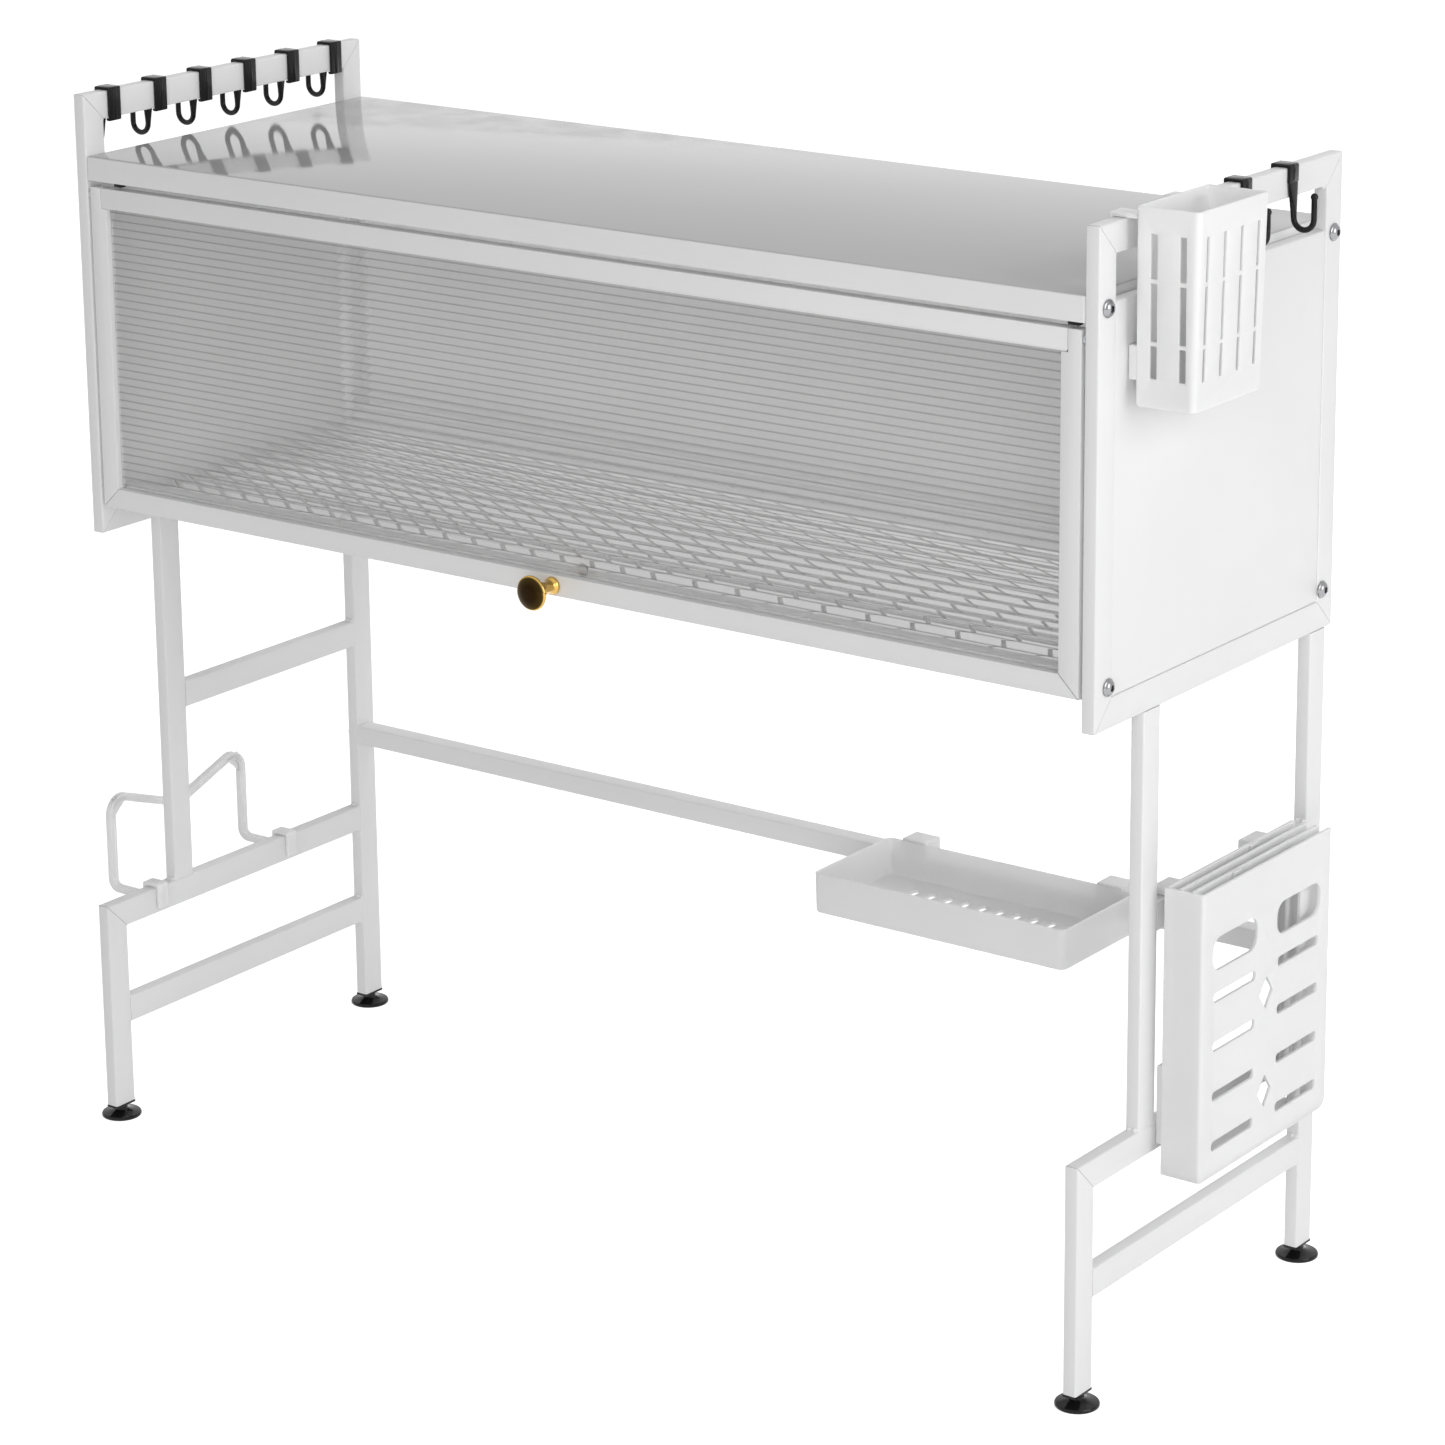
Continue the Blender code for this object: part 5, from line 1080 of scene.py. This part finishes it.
def build_board_holder(sizes):
    """The cutting-board holder: a slotted outer plate, three open inner frames, a front wall and a floor."""
    low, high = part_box("board_holder")
    inner, outer = RIGHT_HIGH.x + STANDOFF, high.x
    front, rear = low.y, high.y
    rail_top = LEG_LOW.z + HIGH_RAIL_TOP
    bottom, top = low.z, rail_top + 0.013
    tall, deep = top - bottom, rear - front
    thick, bend, foot = 0.0024, 0.0026, 0.008
    lane = (outer - inner - 4 * thick) / 3
    wall = [
        (inner, front), (outer, front), (outer, rear), (outer - thick, rear), (outer - thick, front + thick),
        (inner, front + thick)]
    wall = rounded(wall, (0.0012, bend, 0.0006, 0.0006, 0.0006, 0.0006), 5)
    mesh = plate("board_shell", wall, tall, "Z", (bottom + top) / 2)
    holes = []
    for column in (0.25, 0.75):
        y = front + deep * column
        z = top - tall * 0.225
        holes.append(slot_outline(y, z - 0.0115, z + 0.0115, 0.029, 0.0095, 6))
        for share in (0.375, 0.545, 0.72, 0.895):
            z = top - tall * share
            holes.append(slot_outline(y, z - 0.0035, z + 0.0035, 0.027, 0.0029, 5))
    for share in (0.46, 0.81):
        y, z = front + deep / 2, top - tall * share
        points = [(y - 0.009, z), (y, z - 0.012), (y + 0.009, z), (y, z + 0.012)]
        holes.append(rounded(points, [0.001] * 4, 2))
    corner = [(rear + foot, bottom - foot), (rear + foot, bottom + foot), (rear, bottom + foot)]
    corner += [(rear - foot + foot * u, bottom + foot + foot * v) for u, v in arc(-9, -81, 8)]
    holes.append(corner + [(rear - foot, bottom), (rear - foot, bottom - foot)])
    mesh = cut(mesh, slot_cutter("board_holes", holes, lane, "X", outer))
    parts = [soften(mesh, sizes.moulding_round, 50)]
    strip, head, sill, step_in, step_z = 0.014, 0.027, 0.0032, 0.009, top - 0.101
    window = [
        (front + strip, bottom + sill), (rear - strip, bottom + sill), (rear - strip, step_z),
        (rear - strip - step_in, step_z), (rear - strip - step_in, top - head), (front + strip, top - head)]
    window = rounded(window, (0.002, 0.007, 0.003, 0.003, 0.004, 0.004), 5)
    outline = rounded(rectangle(front + thick - 0.0004, bottom + 0.0004, rear, top), (0, foot, 0.0015, 0), 5)
    for i in range(3):
        x = inner + thick / 2 + i * (lane + thick)
        parts.append(soften(plate("board_frame", outline, thick, "X", x, [window]), sizes.moulding_round, 50))
    for i, share in ((0, 0.66), (2, 0.34)):
        x = inner + thick + i * (lane + thick)
        y = front + deep * share
        nib_high = (x + 0.0014, y + 0.005, top - 0.0004)
        parts.append(block("board_nib", (x - 0.0008, y - 0.005, top - 0.006), nib_high, 0.0005))
    floor_low = (inner + 0.0008, front + 0.001, bottom + 0.0002)
    parts.append(block("board_floor", floor_low, (outer - 0.0008, rear - foot, bottom + thick), 0.0009))
    holder_x = inner + thick / 2
    for share in (0.17, 0.85):
        parts.append(clip_on_right("board_clip", holder_x, front + deep * share, rail_top, 0.005, 0.022))
    for y in (front + strip - 0.004, rear - strip + 0.004):
        parts.append(spacer("board_pad", holder_x, y, 0.004, bottom + 0.018, bottom + 0.073, 0.001))
    piece("board_rack", parts, "board_rack", "white_plastic", ["board_holder"], "pale_plastic")


def build_tray(sizes):
    """The soap tray: a shallow drafted pan with drain slots, hung on the crossbar by two hoops."""
    low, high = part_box("soap_tray")
    bar_low, bar_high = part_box("crossbar")
    start, end = Vector((low.x, low.y, low.z)), Vector((high.x, bar_low.y - FIT, bar_high.z + 0.0085))
    wall = sizes.wall
    mesh = tub("tray_pan", start, end, wall, [0.006] * 4, 0.002, (0.0005, 0.0005, 0.0005), 0.0008)
    middle_x, middle_y = (start.x + end.x) / 2, (start.y + end.y) / 2 + 0.008
    slots = []
    for i in range(10):
        x = middle_x + (i - 4.5) * 0.0146
        slots.append(slot_outline(x, middle_y - 0.02, middle_y + 0.02, 0.0025, 0.0024, 4))
    mesh = cut(mesh, slot_cutter("drains", slots, 0.012, "Z", low.z))
    parts = [soften(mesh, 0.0004, 50)]
    bar_y, bar_deep = (bar_low.y + bar_high.y) / 2, bar_high.y - bar_low.y
    for x in (start.x + 0.023, end.x - 0.023):
        part = clip("tray_clip", bar_deep, bar_deep / 2 + FIT + wall / 2, 0.008, 0.0095, 0.02, 0.0008)
        parts.append(moved(part, x, bar_y, bar_high.z, -math.pi / 2))
    piece("sponge_tray", parts, "tray", "white_plastic", ["soap_tray"], "pale_plastic")


def build_lid_holder():
    """The pot-lid holder: one bent strip with raised rims, corner webs and two clips."""
    low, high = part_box("lid_holder")
    rail_top = LEG_LOW.z + BASE_RAIL_TOP
    strip, thick = 0.006, 0.005
    x = low.x + thick / 2
    front, rear = FRONT + 0.043, FRONT + 0.189
    arm_z = rail_top - 0.01
    peak = high.z - strip / 2
    dip = peak - 0.026
    reach = abs(x - LEFT_LOW.x) - FIT - CLIP_THICK / 2
    corner, turn = 0.012, 0.007

    def arm(y, inward):
        """The strip from its clip to the foot of its upright, as points with their two across directions."""
        across = Vector((0, inward, 0))
        steps = []
        for share in (0.0, 0.5):
            point = Vector((x + reach - (reach - turn) * share * 2, y, arm_z))
            steps.append((point, Vector((0, 0, 1)), across))
        for i in range(1, 6):
            angle = math.pi / 2 * i / 6
            point = Vector((x + turn * (1 - math.sin(angle)), y, arm_z + turn * (1 - math.cos(angle))))
            steps.append((point, Vector((math.sin(angle), 0, math.cos(angle))), across))
        return steps

    rough = [(front, arm_z), (front, peak), ((front + rear) / 2, dip), (rear, peak), (rear, arm_z)]
    line = rounded(rough, (0, corner, corner, corner, 0), 8)
    last = len(line) - 1
    path = arm(front, 1)
    for i, (y, z) in enumerate(line):
        if i in (0, last):
            z += turn
            way = Vector((0, 1 if i == 0 else -1))
        else:
            way = (Vector(line[i + 1]) - Vector(line[i - 1])).normalized()
        path.append((Vector((x, y, z)), Vector((1, 0, 0)), Vector((0, way.y, -way.x))))
    path += arm(rear, -1)[::-1]
    half, tall, rim, sink = thick / 2, strip / 2, 0.0015, 0.0007
    shoulder = tall - rim - 0.0004
    section = [
        (-half, -tall), (half, -tall), (half, rim - tall), (half - sink, -shoulder), (half - sink, shoulder),
        (half, tall - rim), (half, tall), (-half, tall), (-half, tall - rim), (sink - half, shoulder),
        (sink - half, -shoulder), (-half, rim - tall)]
    rings = [[point + side * u + up * v for u, v in section] for point, side, up in path]
    parts = [skinned("lid_strip", rings, True, True)]
    half_rail = (LEFT_HIGH.x - LEFT_LOW.x) / 2 + FIT
    edge = half_rail + CLIP_THICK
    skirt = -0.01 - strip / 2
    outline = [
        (edge, FIT + CLIP_THICK), (-edge, FIT + CLIP_THICK), (-edge, skirt), (-half_rail, skirt),
        (-half_rail, FIT), (half_rail, FIT), (half_rail, -CLIP_DOWN), (edge, -CLIP_DOWN)]
    outline = rounded(outline, (0.0018, 0.0018, 0.0008, 0.0004, 0.0003, 0.0003, 0.0004, 0.0008), 4)
    for y, inward in ((front, 1), (rear, -1)):
        part = soften(plate("lid_clip", outline, 0.01, "Y", 0), 0.0006)
        parts.append(moved(part, (LEFT_LOW.x + LEFT_HIGH.x) / 2, y, rail_top))
        web = [
            (y + inward * 0.0035, peak - 0.0035), (y + inward * 0.0012, peak - 0.02),
            (y + inward * 0.017, peak - 0.0062)]
        parts.append(plate("lid_web", web, 0.002, "X", x))
    piece("lid_rest", parts, "lid_rack", "white_plastic", ["lid_holder"], angle=50)


def finish_hidden_fittings():
    """Give each node of the frame that still shows its own finish."""
    slots = {row["node"]: row["material_slot"] for row in frame["record"]["subparts"]}
    for name, node in frame["nodes"].items():
        if node.hide_render:
            continue
        node.data.materials.clear()
        node.data.materials.append(FINISHES[slots[name]])


def seen_rays(tree, *kinds):
    """1 for rays of the given kinds and 0 for others."""
    path = add_node(tree, "LightPath", {})
    value = path[kinds[0]]
    for kind in kinds[1:]:
        value = add_node(tree, "Math", {0: value, 1: path[kind]}, operation="MAXIMUM")["Value"]
    return value


def build_floor():
    """The white floor, which glows for rays that the camera or a mirror sees."""
    shape = bmesh.new()
    bmesh.ops.create_grid(shape, x_segments=8, y_segments=8, size=FLOOR_HALF)
    floor = add_object("studio_floor", mesh_from(shape, "studio_floor"))
    material = bpy.data.materials.new("studio_white")
    material.use_nodes = True
    tree = material.node_tree
    seen = seen_rays(tree, "Is Camera Ray", "Is Glossy Ray")
    glow = add_node(tree, "Math", {0: seen, 1: FLOOR_GLOW}, operation="MULTIPLY")["Value"]
    behind = seen_rays(tree, "Is Transmission Ray")
    floor.data.materials.append(shaded(material, {
        "Base Color": (FLOOR_WHITE, FLOOR_WHITE, FLOOR_WHITE, 1),
        "Roughness": 0.9,
        "Specular IOR Level": 0.0,
        "Emission Color": WHITE,
        "Emission Strength": add_node(tree, "Mix", {0: behind, 2: glow, 3: FLOOR_GLOW_BEHIND})[0]}))


def build_sky(scene, strength):
    """Plain light from all sides, which looks pure white where it is seen."""
    world = bpy.data.worlds.new("studio_sky")
    scene.world = world
    world.use_nodes = True
    tree = world.node_tree
    tree.nodes.clear()
    plain = add_node(tree, "Background", {"Color": WHITE, "Strength": strength})
    white = add_node(tree, "Background", {"Color": WHITE})
    seen = seen_rays(tree, "Is Camera Ray", "Is Glossy Ray", "Is Transmission Ray")
    choose = add_node(tree, "MixShader", {"Fac": seen, 1: plain["Background"], 2: white["Background"]})
    add_node(tree, "OutputWorld", {"Surface": choose["Shader"]})


def build_stage(studio):
    """The white studio: floor, plain light, three softboxes and the camera."""
    scene = bpy.context.scene
    build_floor()
    build_sky(scene, studio.sky)
    for name, place, size, power in (
            ("softbox_right", (3.3, -0.25, 1.6), 2.2, studio.key),
            ("softbox_front", (1.8, -3.4, 1.2), 2.4, studio.front),
            ("softbox_rear", (0.0, 2.8, 2.5), 2.4, studio.rear)):
        lamp = bpy.data.lights.new(name, "AREA")
        lamp.shape = "RECTANGLE"
        lamp.size = lamp.size_y = size
        lamp.energy = power
        obj = add_object(name, lamp)
        obj.location = place
        obj.rotation_euler = (Vector(LAMP_TARGET) - Vector(place)).to_track_quat("-Z", "Y").to_euler()
        # Only the key light is mirrored in the gloss
        obj.visible_glossy = name == "softbox_right"

    camera = add_object("studio_camera", bpy.data.cameras.new("studio_camera"))
    camera.data.lens = studio.lens
    camera.data.sensor_width = 36.0
    camera.data.shift_y = studio.shift
    camera.data.clip_start = 0.05
    camera.data.clip_end = 30.0
    turns = ((studio.yaw, "Z"), (math.pi / 2 - studio.pitch, "X"), (studio.roll, "Z"))
    yaw, pitch, roll = (Matrix.Rotation(angle, 4, axis) for angle, axis in turns)
    place = Matrix.Translation(rack(*CAMERA_TARGET))
    camera.matrix_world = place @ yaw @ pitch @ roll @ Matrix.Translation((0, 0, studio.distance))
    scene.camera = camera
    scene.view_settings.view_transform = "Standard"


# Operators

class RACK_OT_finishes(bpy.types.Operator):
    """Make every paint, plastic and metal finish of the rack"""

    bl_idname = "dish_rack.finishes"
    bl_label = "Finishes"

    def execute(self, context):
        make_finishes(context.scene.rack_colours, context.scene.rack_sizes)
        return {"FINISHED"}


class RACK_OT_side_frames(bpy.types.Operator):
    """Build the two mitred side frames"""

    bl_idname = "dish_rack.side_frames"
    bl_label = "Side frames"

    def execute(self, context):
        build_side_frames(context.scene.rack_sizes)
        return {"FINISHED"}


class RACK_OT_leg_frames(bpy.types.Operator):
    """Build the two welded leg frames"""

    bl_idname = "dish_rack.leg_frames"
    bl_label = "Leg frames"

    def execute(self, context):
        build_leg_frames(context.scene.rack_sizes)
        return {"FINISHED"}


class RACK_OT_sheets(bpy.types.Operator):
    """Build the side panels, the back panel and the top plate"""

    bl_idname = "dish_rack.sheets"
    bl_label = "Panels and top plate"

    def execute(self, context):
        build_cabinet_sheets()
        return {"FINISHED"}


class RACK_OT_door_pads(bpy.types.Operator):
    """Stick the small black pads under the top plate's front lip"""

    bl_idname = "dish_rack.door_pads"
    bl_label = "Door pads"

    def execute(self, context):
        build_door_pads()
        return {"FINISHED"}


class RACK_OT_rails(bpy.types.Operator):
    """Build the shelf rails and the crossbar"""

    bl_idname = "dish_rack.rails"
    bl_label = "Rails and crossbar"

    def execute(self, context):
        build_rails(context.scene.rack_sizes)
        return {"FINISHED"}


class RACK_OT_shelf(bpy.types.Operator):
    """Build the wire shelf"""

    bl_idname = "dish_rack.shelf"
    bl_label = "Wire shelf"

    def execute(self, context):
        build_wire_shelf(context.scene.rack_sizes)
        return {"FINISHED"}


class RACK_OT_bolts(bpy.types.Operator):
    """Build the dome-head bolts"""

    bl_idname = "dish_rack.bolts"
    bl_label = "Bolts"

    def execute(self, context):
        build_bolts()
        return {"FINISHED"}


class RACK_OT_feet(bpy.types.Operator):
    """Build the four levelling feet"""

    bl_idname = "dish_rack.feet"
    bl_label = "Feet"

    def execute(self, context):
        build_feet()
        return {"FINISHED"}


class RACK_OT_door(bpy.types.Operator):
    """Build the door's frame, its fluted sheet and its stop"""

    bl_idname = "dish_rack.door"
    bl_label = "Door"

    def execute(self, context):
        build_door_frame(context.scene.rack_sizes)
        build_door_sheet(context.scene.rack_sizes)
        build_stop()
        return {"FINISHED"}


class RACK_OT_knob(bpy.types.Operator):
    """Build the door's round pull"""

    bl_idname = "dish_rack.knob"
    bl_label = "Knob"

    def execute(self, context):
        build_knob()
        return {"FINISHED"}


class RACK_OT_hooks(bpy.types.Operator):
    """Build the clip-on hooks"""

    bl_idname = "dish_rack.hooks"
    bl_label = "Hooks"

    def execute(self, context):
        build_hooks()
        return {"FINISHED"}


class RACK_OT_caddy(bpy.types.Operator):
    """Build the utensil caddy"""

    bl_idname = "dish_rack.caddy"
    bl_label = "Utensil caddy"

    def execute(self, context):
        build_caddy(context.scene.rack_sizes)
        return {"FINISHED"}


class RACK_OT_board_holder(bpy.types.Operator):
    """Build the cutting-board holder"""

    bl_idname = "dish_rack.board_holder"
    bl_label = "Board holder"

    def execute(self, context):
        build_board_holder(context.scene.rack_sizes)
        return {"FINISHED"}


class RACK_OT_tray(bpy.types.Operator):
    """Build the soap tray"""

    bl_idname = "dish_rack.tray"
    bl_label = "Soap tray"

    def execute(self, context):
        build_tray(context.scene.rack_sizes)
        return {"FINISHED"}


class RACK_OT_lid_holder(bpy.types.Operator):
    """Build the pot-lid holder"""

    bl_idname = "dish_rack.lid_holder"
    bl_label = "Lid holder"

    def execute(self, context):
        build_lid_holder()
        return {"FINISHED"}


class RACK_OT_fittings(bpy.types.Operator):
    """Finish the connectors, plugs, screws and pins that stay from the frame"""

    bl_idname = "dish_rack.fittings"
    bl_label = "Small fittings"

    def execute(self, context):
        finish_hidden_fittings()
        return {"FINISHED"}


class RACK_OT_stage(bpy.types.Operator):
    """Build the floor, the lights and the camera"""

    bl_idname = "dish_rack.stage"
    bl_label = "Studio"

    def execute(self, context):
        build_stage(context.scene.rack_studio)
        return {"FINISHED"}


OPERATORS = (
    RACK_OT_finishes, RACK_OT_side_frames, RACK_OT_leg_frames, RACK_OT_sheets, RACK_OT_door_pads,
    RACK_OT_rails, RACK_OT_shelf, RACK_OT_bolts, RACK_OT_feet, RACK_OT_door, RACK_OT_knob,
    RACK_OT_hooks, RACK_OT_caddy, RACK_OT_board_holder, RACK_OT_tray, RACK_OT_lid_holder,
    RACK_OT_fittings, RACK_OT_stage)


class RACK_PT_panel(bpy.types.Panel):
    """Lists the steps that build the rack"""

    bl_idname = "RACK_PT_panel"
    bl_label = "Dish rack"
    bl_space_type = "VIEW_3D"
    bl_region_type = "UI"
    bl_category = "Dish rack"

    def draw(self, context):
        column = self.layout.column()
        for group in (context.scene.rack_sizes, context.scene.rack_colours, context.scene.rack_studio):
            for key in group.bl_rna.properties.keys():
                if key not in ("rna_type", "name"):
                    column.prop(group, key)
        for operator in OPERATORS:
            column.operator(operator.bl_idname)


CLASSES = (RackSizes, RackColours, StudioSettings, *OPERATORS, RACK_PT_panel)


def register():
    for cls in CLASSES:
        bpy.utils.register_class(cls)
    bpy.types.Scene.rack_sizes = PointerProperty(type=RackSizes)
    bpy.types.Scene.rack_colours = PointerProperty(type=RackColours)
    bpy.types.Scene.rack_studio = PointerProperty(type=StudioSettings)


def unregister():
    del bpy.types.Scene.rack_studio
    del bpy.types.Scene.rack_colours
    del bpy.types.Scene.rack_sizes
    for cls in reversed(CLASSES):
        bpy.utils.unregister_class(cls)


def main():
    """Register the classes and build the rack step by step."""
    register()
    for operator in OPERATORS:
        group, name = operator.bl_idname.split(".")
        getattr(getattr(bpy.ops, group), name)()


if __name__ == "__main__":
    main()
